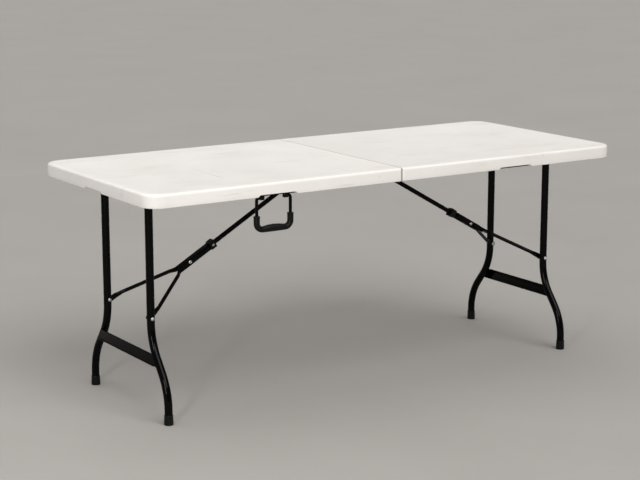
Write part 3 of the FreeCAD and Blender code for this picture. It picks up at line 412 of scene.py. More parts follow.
def polished(name, node, slot, body, bevel=0.35 * MM):
    """A packed sheet-metal or moulded piece with its sharp edges broken."""
    source = NODES[node].data

    def copy(bm):
        verts = [bm.verts.new(v.co) for v in source.vertices]
        for polygon in source.polygons:
            bm.faces.new([verts[i] for i in polygon.vertices])
        bmesh.ops.remove_doubles(bm, verts=bm.verts, dist=2 * WELD)
        bmesh.ops.dissolve_limit(bm, angle_limit=math.radians(1), verts=bm.verts, edges=bm.edges)

    obj = mesh_object(name, copy)
    edge = obj.modifiers.new("broken_edges", "BEVEL")
    edge.width = bevel
    edge.segments = 2
    edge.limit_method = "ANGLE"
    edge.angle_limit = math.radians(35)
    edge.use_clamp_overlap = True
    applied(obj)
    smooth(obj, 35)
    settle(obj, slot, body, node)


# ---------------------------------------------------------------- geometry node trees

class Nodes:
    """A Geometry Nodes tree in the making, with named inputs and one method that makes any node."""

    def __init__(self, name, inputs):
        self.tree = bpy.data.node_groups.new(name, "GeometryNodeTree")
        self.tree.interface.new_socket("Geometry", in_out="INPUT", socket_type="NodeSocketGeometry")
        for word, kind in inputs.items():
            self.tree.interface.new_socket(word, in_out="INPUT", socket_type=kind)
        self.tree.interface.new_socket("Geometry", in_out="OUTPUT", socket_type="NodeSocketGeometry")
        self.given = self.tree.nodes.new("NodeGroupInput").outputs

    def node(self, kind, settings=None, values=None, output=0):
        made = self.tree.nodes.new(kind)
        for word, setting in (settings or {}).items():
            setattr(made, word, setting)
        for word, value in (values or {}).items():
            if isinstance(value, bpy.types.NodeSocket):
                self.tree.links.new(value, made.inputs[word])
            else:
                made.inputs[word].default_value = value
        return made.outputs[output]

    def close(self, instances, merge=0.0):
        """End the tree: realize, merge when asked, and set the material."""
        real = self.node("GeometryNodeRealizeInstances", None, {"Geometry": instances})
        if merge:
            real = self.node("GeometryNodeMergeByDistance", None,
                             {"Geometry": real, "Distance": merge})
        finished = self.node("GeometryNodeSetMaterial", None,
                             {"Geometry": real, "Material": self.given["Material"]})
        output = self.tree.nodes.new("NodeGroupOutput")
        self.tree.links.new(finished, output.inputs["Geometry"])
        return self.tree


def grow(obj, tree, values):
    """Put a tree on an object, set its named inputs and work the result into a plain mesh."""
    modifier = obj.modifiers.new(tree.name, "NODES")
    modifier.node_group = tree
    for item in tree.interface.items_tree:
        if item.item_type == "SOCKET" and item.in_out == "INPUT" and item.name in values:
            modifier[item.identifier] = values[item.name]
    return applied(obj)


def dimple_tree():
    """A grid of copies of one tile, its corners merged."""
    t = Nodes("dimple_field", {"Tile": "NodeSocketObject", "Width": "NodeSocketFloat",
                               "Depth": "NodeSocketFloat", "Columns": "NodeSocketInt",
                               "Rows": "NodeSocketInt", "Tile Size": "NodeSocketVector",
                               "Centre": "NodeSocketVector", "Material": "NodeSocketMaterial"})
    grid = t.node("GeometryNodeMeshGrid", None, {
        "Size X": t.given["Width"], "Size Y": t.given["Depth"],
        "Vertices X": t.given["Columns"], "Vertices Y": t.given["Rows"]})
    placed = t.node("GeometryNodeSetPosition", None, {"Geometry": grid, "Offset": t.given["Centre"]})
    tile = t.node("GeometryNodeObjectInfo", None, {"Object": t.given["Tile"]}, output="Geometry")
    copies = t.node("GeometryNodeInstanceOnPoints", None,
                    {"Points": placed, "Instance": tile, "Scale": t.given["Tile Size"]})
    return t.close(copies, merge=20 * WELD)


def fastener_tree():
    """One head on each point, turned to the point's own facing."""
    t = Nodes("fasteners", {"Head": "NodeSocketObject", "Material": "NodeSocketMaterial"})
    facing = t.node("GeometryNodeInputNamedAttribute", {"data_type": "FLOAT_VECTOR"},
                    {"Name": "facing"}, output="Attribute")
    turn = t.node("FunctionNodeAlignRotationToVector", {"axis": "Z"}, {"Vector": facing})
    head = t.node("GeometryNodeObjectInfo", None, {"Object": t.given["Head"]}, output="Geometry")
    copies = t.node("GeometryNodeInstanceOnPoints", None,
                    {"Points": t.given["Geometry"], "Instance": head, "Rotation": turn})
    return t.close(copies)


def bead_tree():
    """A weld bead: overlapping ripples at equal steps along a line."""
    t = Nodes("weld_bead", {"Step": "NodeSocketFloat", "Radius": "NodeSocketFloat",
                            "Material": "NodeSocketMaterial"})
    line = t.node("GeometryNodeMeshToCurve", None, {"Mesh": t.given["Geometry"]})
    points = t.node("GeometryNodeCurveToPoints", {"mode": "LENGTH"},
                    {"Curve": line, "Length": t.given["Step"]})
    ripple = t.node("GeometryNodeMeshIcoSphere", None, {"Radius": t.given["Radius"], "Subdivisions": 2})
    soft = t.node("GeometryNodeSetShadeSmooth", None, {"Geometry": ripple})
    size = t.node("FunctionNodeRandomValue", {"data_type": "FLOAT"},
                  {"Min": 0.85, "Max": 1.1, "Seed": 3}, output="Value")
    copies = t.node("GeometryNodeInstanceOnPoints", None,
                    {"Points": points, "Instance": soft, "Scale": size})
    return t.close(copies)


DIMPLES = dimple_tree()
FASTENERS = fastener_tree()
BEAD = bead_tree()


def hidden_source(name, build, smooth_angle=40):
    """An object that only lends its mesh to a tree, and is removed afterwards."""
    obj = mesh_object(name, build, smooth_angle)
    obj.hide_render = True
    return obj


# ---------------------------------------------------------------- the moulded top

def side_stations():
    """Places along each side where the outline needs a point: the notch and relief corners."""
    handle_x = centre("handle_bail").x
    notch = [NOTCH_HALF + NOTCH_EASE, NOTCH_HALF - NOTCH_EASE,
             NOTCH_HALF - NOTCH_DEPTH + NOTCH_EASE, NOTCH_HALF - NOTCH_DEPTH - NOTCH_EASE]
    end_notch = [step - NOTCH_HALF + END_NOTCH_HALF for step in notch]
    leaf_low, leaf_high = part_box("back_hinge_left_leaf")
    relief = (leaf_low.y - BARREL_SIDE, leaf_high.y + BARREL_SIDE)
    steps = [relief[0] - HAIRLINE, relief[0], relief[1], relief[1] + HAIRLINE]
    return {"long": [handle_x - s for s in notch] + [handle_x + s for s in notch[::-1]],
            "end": [-s for s in end_notch] + end_notch[::-1],
            "seam": [-y for y in steps[::-1]] + steps,
            "handle_x": handle_x, "relief": relief}


STATIONS = side_stations()


def outline(inset, seam_inset, end_round, seam_round, steps=10):
    """A rounded rectangle of one half, as (x, y, side, seam share), its count the same every time.
    The seam share is 1 along the seam, 0 elsewhere and between the two round the corners."""
    west, east = END_X + inset, SEAM_X - seam_inset
    south, north = -HALF_WIDTH + inset, HALF_WIDTH - inset
    points = []

    def straight(side, low, high, reverse):
        stations = STATIONS["long" if side in ("front", "back") else side]
        run = [min(max(s, low), high) for s in stations]
        for place in (run[::-1] if reverse else run):
            spot = {"front": (place, south), "back": (place, north),
                    "seam": (east, place), "end": (west, place)}[side]
            points.append((*spot, side, 1 if side == "seam" else 0))

    def corner(x, y, radius, start, seam_at_start, seam_at_end):
        for share in [0] + shares(steps):
            angle = math.radians(start + 90 * share)
            points.append((x + radius * math.cos(angle), y + radius * math.sin(angle), "corner",
                           eased(between(seam_at_start, seam_at_end, share))))

    straight("front", west + end_round, east - seam_round, False)
    corner(east - seam_round, south + seam_round, seam_round, -90, 0, 1)
    straight("seam", south + seam_round, north - seam_round, False)
    corner(east - seam_round, north - seam_round, seam_round, 0, 1, 0)
    straight("back", west + end_round, east - seam_round, True)
    corner(west + end_round, north - end_round, end_round, 90, 0, 0)
    straight("end", south + end_round, north - end_round, True)
    corner(west + end_round, south + end_round, end_round, 180, 0, 0)
    return points


def notch_lift(x, y, side, inset):
    """How far the skirt's lower edge is raised: the notches, and room for the hinge barrels."""
    if side in ("front", "back"):
        away, half = abs(x - STATIONS["handle_x"]), NOTCH_HALF
    elif side == "end":
        away, half = abs(y), END_NOTCH_HALF
    elif side == "seam" and inset <= BARREL_ROOM:
        low, high = STATIONS["relief"]
        return BARREL_RELIEF if low - WELD <= abs(y) <= high + WELD else 0
    else:
        return 0
    return min(max(half - away, 0), NOTCH_DEPTH)


def top_rings():
    """Rings from the pebbled field over the edge, down the skirt, and up its inside to the panel."""
    rings = []

    def ring(inset, seam_inset, end_round, seam_round, z, seam_z=None, lifted=False):
        seam_z = z if seam_z is None else seam_z
        places = outline(inset, seam_inset, end_round, seam_round)
        rings.append([Vector((x, y, between(z, seam_z, share)
                              + (notch_lift(x, y, side, inset) if lifted else 0)))
                      for x, y, side, share in places])

    def skirt_ring(inset, z):
        ring(inset, inset, END_ROUND - inset, SEAM_ROUND - inset, z, lifted=True)

    for share in (1, 0.7, 0.3, 0):
        inset = BORDER + FIELD_SLOPE * share
        seam_inset = SEAM_BORDER + SEAM_FIELD_SLOPE * share
        ring(inset, seam_inset, END_ROUND - inset, FIELD_SEAM_ROUND, TOP_Z - FIELD_DROP * eased(share))
    for share in [0] + shares(EDGE_STEPS):
        turn = math.radians(90 * share)
        inset, drop = 1 - math.sin(turn), 1 - math.cos(turn)
        outer = EDGE_ROUND * inset
        ring(outer, SEAM_EDGE_ROUND * inset, END_ROUND - outer, SEAM_ROUND - 0.8 * outer,
             TOP_Z - EDGE_ROUND * drop, TOP_Z - SEAM_EDGE_ROUND * drop)
    waist = RIM_Z + NOTCH_DEPTH + 2 * LIP_ROUND
    ring(0, 0, END_ROUND, SEAM_ROUND, waist)
    lip_turns = [math.radians(90 * share) for share in [0] + shares(LIP_STEPS)]
    for turn in lip_turns:
        skirt_ring(LIP_ROUND * (1 - math.cos(turn)), RIM_Z + LIP_ROUND * (1 - math.sin(turn)))
    for inset in (BARREL_ROOM, BARREL_ROOM + 2 * HAIRLINE):
        skirt_ring(inset, RIM_Z)
    for turn in lip_turns:
        inset = SKIRT - INNER_LIP_ROUND * (1 - math.sin(turn))
        ring(inset, inset, HOLLOW_END_ROUND + SKIRT - inset, HOLLOW_SEAM_ROUND + SKIRT - inset,
             RIM_Z + LIP_ROUND * (1 - math.cos(turn)), lifted=True)
    ring(SKIRT, SKIRT, HOLLOW_END_ROUND, HOLLOW_SEAM_ROUND, waist)
    for turn in lip_turns:
        inset = HOLLOW_FILLET * (1 - math.cos(turn))
        ring(SKIRT + inset, SKIRT + inset, HOLLOW_END_ROUND - inset, HOLLOW_SEAM_ROUND - inset,
             PANEL_Z - HOLLOW_FILLET * (1 - math.sin(turn)))
    return rings


def dimple_tile(bm):
    """One square of the panel's underside, one across, with a tapered dimple pressed up into it."""
    quarter = DIMPLE_SIDES // 4
    square = []
    for i in range(DIMPLE_SIDES):
        side, step = divmod(i, quarter)
        along = between(-0.5, 0.5, step / quarter)
        square.append(((along, -0.5), (0.5, along), (-along, 0.5), (-0.5, -along))[side])
    rings = [[Vector((x, y, 0)) for x, y in square]]
    spokes = [math.radians(-135 + 360 * i / DIMPLE_SIDES) for i in range(DIMPLE_SIDES)]
    for radius, height in DIMPLE_PROFILE:
        reach = radius / DIMPLE_PITCH
        rings.append([Vector((reach * math.cos(a), reach * math.sin(a), height)) for a in spokes])
    rows = loft(bm, rings, closed_ends=False)
    bm.faces.new(rows[-1])


def dimple_field():
    """The dimpled rectangle between the rails, as a plain mesh."""
    rail_low, rail_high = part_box("left_front_rail")
    west, east = rail_low.x - FIELD_MARGIN, rail_high.x - FIELD_MARGIN
    half = -rail_high.y - FIELD_MARGIN
    columns = round((east - west) / DIMPLE_PITCH)
    rows = round(2 * half / DIMPLE_PITCH)
    step_x, step_y = (east - west) / columns, 2 * half / rows
    tile = hidden_source("dimple_tile", dimple_tile)
    field = bpy.data.objects.new("dimple_field", bpy.data.meshes.new("dimple_field"))
    bpy.context.scene.collection.objects.link(field)
    grow(field, DIMPLES, {
        "Tile": tile, "Width": east - west - step_x, "Depth": 2 * half - step_y,
        "Columns": columns, "Rows": rows, "Tile Size": (step_x, step_y, 1),
        "Centre": ((west + east) / 2, 0, PANEL_Z), "Material": FINISHES["top_plastic"]})
    bpy.data.objects.remove(tile)
    mesh = field.data
    bpy.data.objects.remove(field)
    return mesh


def make_tops():
    rings = top_rings()
    field = dimple_field()
    for side in SIDES:

        def build(bm):
            bm.from_mesh(field)
            rows = loft(bm, rings, closed_ends=False)
            bm.faces.new(rows[0])
            bmesh.ops.remove_doubles(bm, verts=bm.verts, dist=WELD)
            gap = [e for e in bm.edges if e.is_boundary and abs(e.verts[0].co.z - PANEL_Z) < 10 * WELD]
            bmesh.ops.triangle_fill(bm, edges=gap, use_beauty=True, use_dissolve=False)
            bmesh.ops.transform(bm, matrix=HALF_TURN[side], verts=bm.verts)

        settle(mesh_object(f"{side}_moulded_top", build, 32), "top_plastic",
               f"{side}_half", f"{side}_top")


# ---------------------------------------------------------------- the braces' forks

ARM_SIDES = 24
ARM_RADIUS = 6.25 * MM
TUBE_POWER = 2.0               # the run between the ends is round
TAB_POWER = 5.0                # and its flattened ends are rounded boxes
TAB = 5 * MM                   # thickness of a flattened end
TAB_HALF = 8.5 * MM            # half its height
CHANNEL_TAIL = 42 * MM         # knee to the channel's lower end
ROOT_SINK = 0.5 * MM           # how far the tab is pressed into the channel's face
ROOT_LAP, ROOT_LAP_END = 26 * MM, 2 * MM       # the tab's run on the channel, from its lower end
ROOT_NOSE = 6 * MM             # rounded end of the tab
SWELL = 24 * MM                # run over which the tab becomes a tube
SQUEEZE, EYE_FLAT = 44 * MM, 20 * MM           # bolt to where the tube starts to flatten, and ends
LEG_CLEARANCE = 0.3 * MM
TUBE_CLEARANCE = 0.5 * MM      # more for the tube, beyond the tab's
STRAIGHT_SHARE = 0.965         # the straight run stops short of the line's end


def arm_stations():
    """Sections along a fork arm, from its tab on the channel to its eye beside the leg, as
    (x from the knee, y, half across, half up, power)."""
    channel_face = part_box("left_fork_channel")[1].y
    leg_face = LEG_Y - LEG_TUBE / 2 - LEG_CLEARANCE
    root_half = TAB / 2 - ROOT_SINK
    root_y = channel_face + root_half
    eye_y = leg_face - TAB / 2
    line_from_y = channel_face + ARM_RADIUS
    line_to_y = leg_face - ARM_RADIUS - TUBE_CLEARANCE
    root_x = -CHANNEL_TAIL + ROOT_LAP_END
    straight_x, squeeze_x, eye_x = -CHANNEL_TAIL - SWELL, SQUEEZE - FORK_RUN, EYE_FLAT - FORK_RUN
    line_run = straight_x + SWELL - squeeze_x
    sections = []
    for share in (0, 0.35, 0.7, 1):
        nose = math.sqrt(max(1 - (1 - share) ** 2, 0.02))
        sections.append((-CHANNEL_TAIL + ROOT_LAP - ROOT_NOSE * share, root_y, root_half,
                         TAB_HALF * nose, TAB_POWER))
    sections.append((root_x, root_y, root_half, TAB_HALF, TAB_POWER))
    for share in shares(4):
        ease = eased(share)
        line_y = between(line_from_y, line_to_y, SWELL * share / line_run)
        sections.append((between(root_x, straight_x, share), between(root_y, line_y, ease),
                         between(root_half, ARM_RADIUS, ease), between(TAB_HALF, ARM_RADIUS, ease),
                         between(TAB_POWER, TUBE_POWER, ease)))
    near_leg_y = between(line_y, line_to_y, STRAIGHT_SHARE)
    for share in shares(8):
        sections.append((between(straight_x, squeeze_x, share), between(line_y, near_leg_y, share),
                         ARM_RADIUS, ARM_RADIUS, TUBE_POWER))
    for share in shares(4):
        ease = eased(share)
        sections.append((between(squeeze_x, eye_x, share), between(near_leg_y, eye_y, ease),
                         between(ARM_RADIUS, TAB / 2, ease), between(ARM_RADIUS, TAB_HALF, ease),
                         between(TUBE_POWER, TAB_POWER, ease)))
    for share in [0] + shares(8):
        angle = math.radians(90 * share)
        sections.append((-FORK_RUN - TAB_HALF * math.sin(angle), eye_y, TAB / 2,
                         max(TAB_HALF * math.cos(angle), 0.4 * MM), TAB_POWER))
    return sections


def make_arms():
    stations = arm_stations()
    for side in SIDES:
        place = HALF_TURN[side] @ BRACE_PLACE
        for row in ROWS:
            outward = -1 if (row == "front") == (side == "left") else 1

            def build(bm):
                loft(bm, [[place @ Vector((x, outward * (y + a), u))
                           for a, u in superellipse(across, up, power, ARM_SIDES)]
                          for x, y, across, up, power in stations])

            settle(mesh_object(f"{side}_{row}_brace_arm", build, 45), "black_enamel",
                   f"{side}_fork", f"{side}_fork_{row}_arm")


# ---------------------------------------------------------------- the feet

SOLE_RIBS = [(0, 0.6), (4, 0.6), (5, 0), (7, 0), (8, 0.6), (9.5, 0.6), (10.5, 0)]  # radius, height
FOOT_GROOVE = [(0.05, 0), (0.55, 0.4), (0.55, 0.9), (0.08, 1.3)]                  # depth, height
FOOT_GROOVE_HEIGHTS = (4.5, 7.5)
SOLE_ROUND = 1.6 * MM
FOOT_TAPER = 0.75 * MM         # the neck is this much narrower all round
FOOT_LIP = 0.35 * MM           # and the rolled lip this much wider than the neck
FOOT_LIP_ROUND = 1.2 * MM
SOCKET_GAP = 0.02 * MM
SOCKET_FLOOR = 3 * MM


def foot_profile():
    """A moulded cap: ribbed sole, flared skirt with two grooves, rolled lip, and the socket."""
    low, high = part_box("left_front_foot")
    height = high.z - low.z
    wide = (high.x - low.x) / 2
    neck = wide - FOOT_TAPER
    lip = neck + FOOT_LIP
    socket = LEG_TUBE / 2 + SOCKET_GAP
    profile = [(radius * MM, rise * MM) for radius, rise in SOLE_RIBS]
    profile += arc(SOLE_ROUND, -90, 0, 4, wide - SOLE_ROUND, SOLE_ROUND)
    for base in FOOT_GROOVE_HEIGHTS:
        profile += [(wide - depth * MM, (base + rise) * MM) for depth, rise in FOOT_GROOVE]
    profile += [(neck, height - 4 * MM), (lip, height - 3.2 * MM)]
    profile += arc(FOOT_LIP_ROUND, 0, 90, 4, lip - FOOT_LIP_ROUND, height - FOOT_LIP_ROUND)
    profile += [(socket, height - 0.1 * MM), (socket, SOCKET_FLOOR), (0, SOCKET_FLOOR)]
    return profile


def make_feet():
    profile = foot_profile()
    for side in SIDES:
        for row in ROWS:
            place = centre(f"{side}_{row}_foot")

            def build(bm):
                lathe(bm, profile, 48, Matrix.Translation((place.x, place.y, 0)))

            settle(mesh_object(f"{side}_{row}_foot_cap", build, 35), "black_plastic",
                   f"{side}_leg_frame", f"{side}_{row}_foot")


# ---------------------------------------------------------------- the carrying grip

GRIP_HALF = 10.5 * MM          # half the grip's thickness
GRIP_BEND = 20 * MM
GRIP_SIDES = 32
GRIP_ROLL = [(0, 5.2), (0.15, 8.6), (0.5, 10.0), (1.2, 10.4), (2.6, 10.4), (3.6, 9.9), (4.4, 9.5)]
LIMB_HALF = (9.5 * MM, 9.3 * MM)               # half across and half up, down the wire
BEND_HALF = (10.0 * MM, 9.3 * MM)              # at the bottom of a bend
PALM_HALF = (10.5 * MM, 11.4 * MM)             # in the middle of the bottom
LIMB_POWER, PALM_POWER = 2.3, 2.7
FINGERS = 4
FINGER_DEPTH = 0.25 * MM


def make_grip():
    """The grip down one wire, round the bends and back up: slim at the bends, full across the
    bottom where the fingers go, and rolled over at both ends."""
    low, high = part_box("handle_grip")
    bail_low, bail_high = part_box("handle_bail")
    wire = (bail_high.y - bail_low.y) / 2
    half_pitch = (bail_high.x - bail_low.x) / 2 - wire
    middle = (low + high) / 2
    line_z = low.z + GRIP_HALF
    run = half_pitch - GRIP_BEND
    limb = []                  # (x from the middle, z, tangent, half across, half up, power)
    down = Vector((0, 0, -1))
    for drop, radius in GRIP_ROLL:
        limb.append((-half_pitch, high.z - drop * MM, down, radius * MM, radius * MM, 2))
    roll_z = limb[-1][1]
    for share in shares(4):
        limb.append((-half_pitch, between(roll_z, line_z + GRIP_BEND, share), down, *LIMB_HALF,
                     LIMB_POWER))
    for share in shares(8):
        angle = math.radians(90 * share)
        limb.append((-half_pitch + GRIP_BEND * (1 - math.cos(angle)),
                     line_z + GRIP_BEND * (1 - math.sin(angle)),
                     Vector((math.sin(angle), 0, -math.cos(angle))),
                     between(LIMB_HALF[0], BEND_HALF[0], share), LIMB_HALF[1], LIMB_POWER))
    bottom = []
    for share in shares(24)[:-1]:
        swell = math.sin(math.pi * share) ** 1.2
        fingers = FINGER_DEPTH * math.cos(2 * math.pi * FINGERS * share) * swell
        up = between(BEND_HALF[1], PALM_HALF[1], swell) + fingers
        bottom.append((between(-run, run, share), line_z + (up - BEND_HALF[1]) * 0.9,
                       Vector((1, 0, 0)), between(BEND_HALF[0], PALM_HALF[0], swell), up,
                       between(LIMB_POWER, PALM_POWER, swell)))
    other_limb = [(-x, z, Vector((tangent.x, 0, -tangent.z)), *rest)
                  for x, z, tangent, *rest in reversed(limb)]

    def build(bm):
        rings = []
        for x, z, tangent, across, up, power in limb + bottom + other_limb:
            normal = Vector((-tangent.z, 0, tangent.x))
            heart = Vector((middle.x + x, middle.y, z))
            rings.append([heart + normal * n + Vector((0, a, 0))
                          for a, n in superellipse(across, up, power, GRIP_SIDES)])
        loft(bm, rings)

    settle(mesh_object("carry_grip", build, 40), "black_plastic", "handle", "handle_grip")


# ---------------------------------------------------------------- fasteners

SCREW_RADIUS, SCREW_DEPTH = 4.5 * MM, 2.6 * MM
SCREW_DOME = [(1.0, 0), (1.0, 0.35), (0.95, 0.62), (0.82, 0.86), (0.62, 0.96),
              (0.42, 1.0), (0.22, 1.0), (0.10, 1.0)]        # shares of the radius and the depth
SHANK_RADIUS, SHANK_RUN = 2.1 * MM, 6 * MM
RECESS_HALF, RECESS_DEPTH = 0.62 * MM, 1.3 * MM
RECESS_REACH = 0.6             # share of the radius
SCREW_SIDES = 32
SCREW_SPACING = 18 * MM        # no two screws of one node are nearer
RIVET_DOME = [(1, 0), (1, 0.16), (0.96, 0.26), (0.86, 0.34), (0.80, 0.52), (0.68, 0.76),
              (0.50, 0.93), (0.36, 1), (0.30, 1), (0.22, 0.86), (0, 0.82)]
RIVET_SINK = 2 * MM
RIVET_SIDES = 28
BOLT_HEAD = (6 * MM, 4 * MM)   # radius and depth
KNEE_HEAD = (6 * MM, 3 * MM)


def screw_head(bm):
    """A pan head with a cross recess, its seat at the origin, facing +Z, and a short shank."""
    rings = [circle(SHANK_RADIUS, height, SCREW_SIDES) for height in (-SHANK_RUN, 0)]
    for share, height in SCREW_DOME:
        ring = circle(share * SCREW_RADIUS, SCREW_DEPTH * height, SCREW_SIDES)
        for point in ring:
            if share < RECESS_REACH and min(abs(point.x), abs(point.y)) < RECESS_HALF:
                point.z -= RECESS_DEPTH
        rings.append(ring)
    loft(bm, rings)


def rivet_head(radius, depth):
    """A round head with a flange, a dome and the mark of the peening tool."""
    def build(bm):
        profile = [(0, -RIVET_SINK), (radius / 2, -RIVET_SINK), (radius / 2, 0)]
        profile += [(radius * share, depth * height) for share, height in RIVET_DOME]
        lathe(bm, profile, RIVET_SIDES)
    return build


def islands(node, reach):
    """The separate fasteners of one node, as (low corner, high corner)."""
    groups = []
    for vertex in NODES[node].data.vertices:
        for points in groups:
            if (points[0] - vertex.co).length < reach:
                points.append(vertex.co.copy())
                break
        else:
            groups.append([vertex.co.copy()])
    return [(Vector([min(p[k] for p in points) for k in range(3)]),
             Vector([max(p[k] for p in points) for k in range(3)])) for points in groups]


def heads_on(name, node, body, head, places):
    """Set a head at each (place, facing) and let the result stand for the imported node."""
    mesh = bpy.data.meshes.new(name)
    mesh.from_pydata([place for place, _ in places], [], [])
    facing = mesh.attributes.new("facing", "FLOAT_VECTOR", "POINT")
    for index, (_, direction) in enumerate(places):
        facing.data[index].vector = direction
    obj = bpy.data.objects.new(name, mesh)
    bpy.context.scene.collection.objects.link(obj)
    grow(obj, FASTENERS, {"Head": head, "Material": FINISHES["zinc"]})
    settle(obj, "zinc", body, node)


def make_fasteners():
    screw = hidden_source("screw_head", screw_head, 35)
    bolt = hidden_source("bolt_head", rivet_head(*BOLT_HEAD), 35)
    knee = hidden_source("knee_head", rivet_head(*KNEE_HEAD), 35)

    def pair(at, y, facing):
        """Two places alike in front and behind, facing away from the middle or, at -1, towards it."""
        return [(Vector((at.x, s * y, at.z)), Vector((0, s * facing, 0))) for s in (-1, 1)]

    for side in SIDES:
        for kind in ("rail", "bracket"):
            node = f"{side}_{kind}_screws"
            places = [(Vector(((low.x + high.x) / 2, (low.y + high.y) / 2, low.z + SCREW_DEPTH)),
                       Vector((0, 0, -1))) for low, high in islands(node, SCREW_SPACING)]
            heads_on(f"{side}_{kind}_cross_screws", node, f"{side}_half", screw, places)
        node = f"{side}_leg_bolts"
        heads_on(f"{side}_leg_bolt_heads", node, f"{side}_leg_frame", bolt,
                 pair(centre(node), LEG_Y + LEG_TUBE / 2, 1))
        node = f"{side}_arm_rivets"
        heads_on(f"{side}_arm_rivet_heads", node, f"{side}_fork", bolt,
                 pair(centre(node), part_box(node)[1].y - TAB, -1))
        node = f"{side}_knee_rivet"
        heads_on(f"{side}_knee_rivet_heads", node, f"{side}_fork", knee,
                 pair(centre(node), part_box(f"{side}_fork_channel")[1].y, 1))
    for source in (screw, bolt, knee):
        bpy.data.objects.remove(source)


# ---------------------------------------------------------------- the lock's spring clip

CLIP_PLATE = (8.6 * MM, 5.6 * MM, 0.8 * MM)    # wide, tall, thick
CLIP_BAR = (1.5 * MM, 6.4 * MM, 1.9 * MM)
CLIP_BAR_SHIFT = 2.2 * MM
CLIP_SIDES = 20


def make_clips():
    """A stamped clip on the collar: a small plate with two raised bars."""
    for side in SIDES:
        low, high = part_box(f"{side}_lock_clip")
        middle = (low + high) / 2
        outward = 1 if middle.y > 0 else -1
        base_y = low.y if outward > 0 else high.y
        lean = -SLOPE if middle.x < 0 else SLOPE
        place = Matrix.Translation((middle.x, base_y, middle.z)) @ Matrix.Rotation(lean, 4, "Y")

        def slab(bm, x, size, power):
            wide, tall, thick = size
            rings = []
            for depth, shrink in ((0, 1), (thick * 0.75, 1), (thick, 0.82)):
                outline_points = superellipse(wide / 2 * shrink, tall / 2 * shrink, power, CLIP_SIDES)
                rings.append([place @ Vector((x + a, outward * depth, u)) for a, u in outline_points])
            loft(bm, rings)

        def build(bm):
            slab(bm, 0, CLIP_PLATE, 6)
            for shift in (-CLIP_BAR_SHIFT, CLIP_BAR_SHIFT):
                slab(bm, shift, CLIP_BAR, 3)

        settle(mesh_object(f"{side}_spring_clip", build, 35), "zinc", f"{side}_lock",
               f"{side}_lock_clip")


# ---------------------------------------------------------------- welds

BEAD_RADIUS = 1.7 * MM
PLATE_BEAD_GAP = 0.6 * MM      # the plate's beads run this far in front of the leg
PLATE_BEAD_INSET = 1 * MM      # and stop this far short of its edges
COLLAR_GAP = 0.2 * MM          # the bead round the leg's top, out from the leg
COLLAR_SINK = 0.3 * MM         # and below the pivot tube's side
COLLAR_STEPS = 24


def leg_line_y(z):
    """How far from the middle the leg's centre line is at a height in its upper bend."""
    return LEG_Y + BEND_RADIUS - math.sqrt(BEND_RADIUS ** 2 - (BEND_START - z) ** 2)


def make_welds():
    """Beads along both ends of the cross plate, and round the top of each leg at the pivot tube."""
    plate_low, plate_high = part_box("left_cross_plate")
    tube_z = centre("left_pivot_tube").z
    face_x = LEG_X - LEG_TUBE / 2 - PLATE_BEAD_GAP
    high_z, low_z = plate_high.z - PLATE_BEAD_INSET, plate_low.z + PLATE_BEAD_INSET
    high_y = leg_line_y(plate_high.z) + PLATE_BEAD_INSET
    low_y = plate_high.y + PLATE_BEAD_INSET / 2
    for side in SIDES:
        points, edges = [], []

        def run(line):
            first = len(points)
            points.extend(HALF_TURN[side] @ Vector(p) for p in line)
            edges.extend((first + i, first + i + 1) for i in range(len(line) - 1))

        for sign in (-1, 1):
            run([(face_x, sign * high_y, high_z), (face_x, sign * low_y, low_z)])
            collar = circle(LEG_TUBE / 2 + COLLAR_GAP, 0, COLLAR_STEPS)
            line = []
            for along, across, _ in collar + collar[:1]:
                drop = math.sqrt(max((LEG_TUBE / 2) ** 2 - along ** 2, 0))
                line.append((LEG_X + along, sign * LEG_Y + across, tube_z - drop - COLLAR_SINK))
            run(line)
        mesh = bpy.data.meshes.new(f"{side}_welds")
        mesh.from_pydata(points, edges, [])
        obj = bpy.data.objects.new(f"{side}_weld_beads", mesh)
        bpy.context.scene.collection.objects.link(obj)
        grow(obj, BEAD, {"Step": BEAD_RADIUS, "Radius": BEAD_RADIUS,
                         "Material": FINISHES["black_enamel"]})
        settle(obj, "black_enamel", f"{side}_leg_frame")


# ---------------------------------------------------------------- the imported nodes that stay

def dress_nodes():
    """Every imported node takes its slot's finish."""
    for node in NODES.values():
        for holder in node.material_slots:
            holder.material = FINISHES[holder.material.name]


def make_polished():
    for side in SIDES:
        half = f"{side}_half"
        polished(f"{side}_cross_plate_pressed", f"{side}_cross_plate", "black_enamel",
                 f"{side}_leg_frame", 0.6 * MM)
        polished(f"{side}_fork_channel_folded", f"{side}_fork_channel", "black_enamel",
                 f"{side}_fork", 0.45 * MM)
        polished(f"{side}_collar_moulded", f"{side}_lock_collar", "black_plastic",
                 f"{side}_lock", 0.9 * MM)
        polished(f"{side}_brace_bracket_folded", f"{side}_brace_bracket", "black_enamel", half)
        for row in ROWS:
            polished(f"{side}_{row}_rail_folded", f"{side}_{row}_rail", "black_enamel", half)
            polished(f"{row}_{side}_leaf_pressed", f"{row}_hinge_{side}_leaf", "black_enamel", half)
    polished("handle_blocks", "handle_brackets", "black_plastic", "left_half", 0.8 * MM)


# ---------------------------------------------------------------- floor, light and camera

FLOOR_REACH = 45               # metres to each side, past every view's edge
CAMERA_PLACE = (-3.0692, -4.5916, 1.6056)
CAMERA_DOWN = 11.9             # degrees below the level
CAMERA_HEADING = -33.17        # degrees from +Y
LENS_MM = 93.87
SENSOR_MM = 36


def make_floor():
    def build(bm):
        bmesh.ops.create_grid(bm, x_segments=1, y_segments=1, size=FLOOR_REACH)

    floor = mesh_object("floor", build)
    floor.data.materials.append(floor_paint())


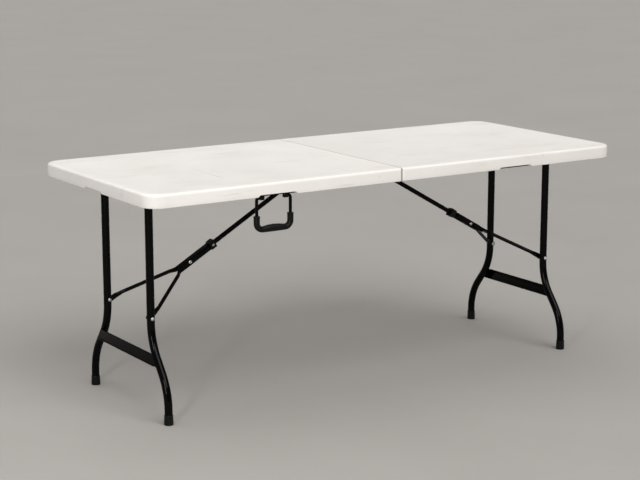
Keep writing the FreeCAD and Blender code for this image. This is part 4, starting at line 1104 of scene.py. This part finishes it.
def area_light(name, place, aim, width, height, power, colour=(1, 1, 1)):
    lamp = bpy.data.lights.new(name, "AREA")
    lamp.shape = "RECTANGLE"
    lamp.size = width
    lamp.size_y = height
    lamp.energy = power
    lamp.color = colour
    obj = bpy.data.objects.new(name, lamp)
    obj.location = place
    obj.rotation_euler = (Vector(aim) - Vector(place)).to_track_quat("-Z", "Y").to_euler()
    bpy.context.scene.collection.objects.link(obj)


def broad_light(name, towards, strength, spread, colour=(1, 1, 1)):
    """A distant light as wide as a softbox, so the whole floor is lit alike."""
    lamp = bpy.data.lights.new(name, "SUN")
    lamp.energy = strength
    lamp.angle = math.radians(spread)
    lamp.color = colour
    obj = bpy.data.objects.new(name, lamp)
    obj.rotation_euler = Vector(towards).to_track_quat("-Z", "Y").to_euler()
    bpy.context.scene.collection.objects.link(obj)


def make_lights():
    broad_light("front_softbox", (-0.10, 1.0, -1.10), 2.15, 45, (1.0, 0.985, 0.965))
    broad_light("overhead_softbox", (0.25, -0.25, -1.0), 1.25, 70, (1.0, 0.99, 0.98))
    broad_light("left_fill", (1.0, 0.35, -0.35), 0.15, 60, (1.0, 0.97, 0.94))
    area_light("left_strip", (-3.4, -2.6, 1.5), (-0.6, -0.1, 0.3), 0.30, 1.6, 48)
    world = bpy.data.worlds.new("soft_room")
    world.use_nodes = True
    background = world.node_tree.nodes["Background"]
    background.inputs["Color"].default_value = (0.80, 0.79, 0.80, 1)
    background.inputs["Strength"].default_value = 0.26
    bpy.context.scene.world = world
    bpy.context.scene.view_settings.view_transform = "Standard"


def make_camera():
    lens = bpy.data.cameras.new("camera")
    lens.lens = LENS_MM
    lens.sensor_width = SENSOR_MM
    camera = bpy.data.objects.new("camera", lens)
    camera.location = CAMERA_PLACE
    camera.rotation_euler = Euler((math.radians(90 - CAMERA_DOWN), 0, math.radians(CAMERA_HEADING)))
    bpy.context.scene.collection.objects.link(camera)
    bpy.context.scene.camera = camera


make_camera()
dress_nodes()
make_tops()
make_arms()
make_feet()
make_grip()
make_fasteners()
make_clips()
make_welds()
make_polished()
make_floor()
make_lights()
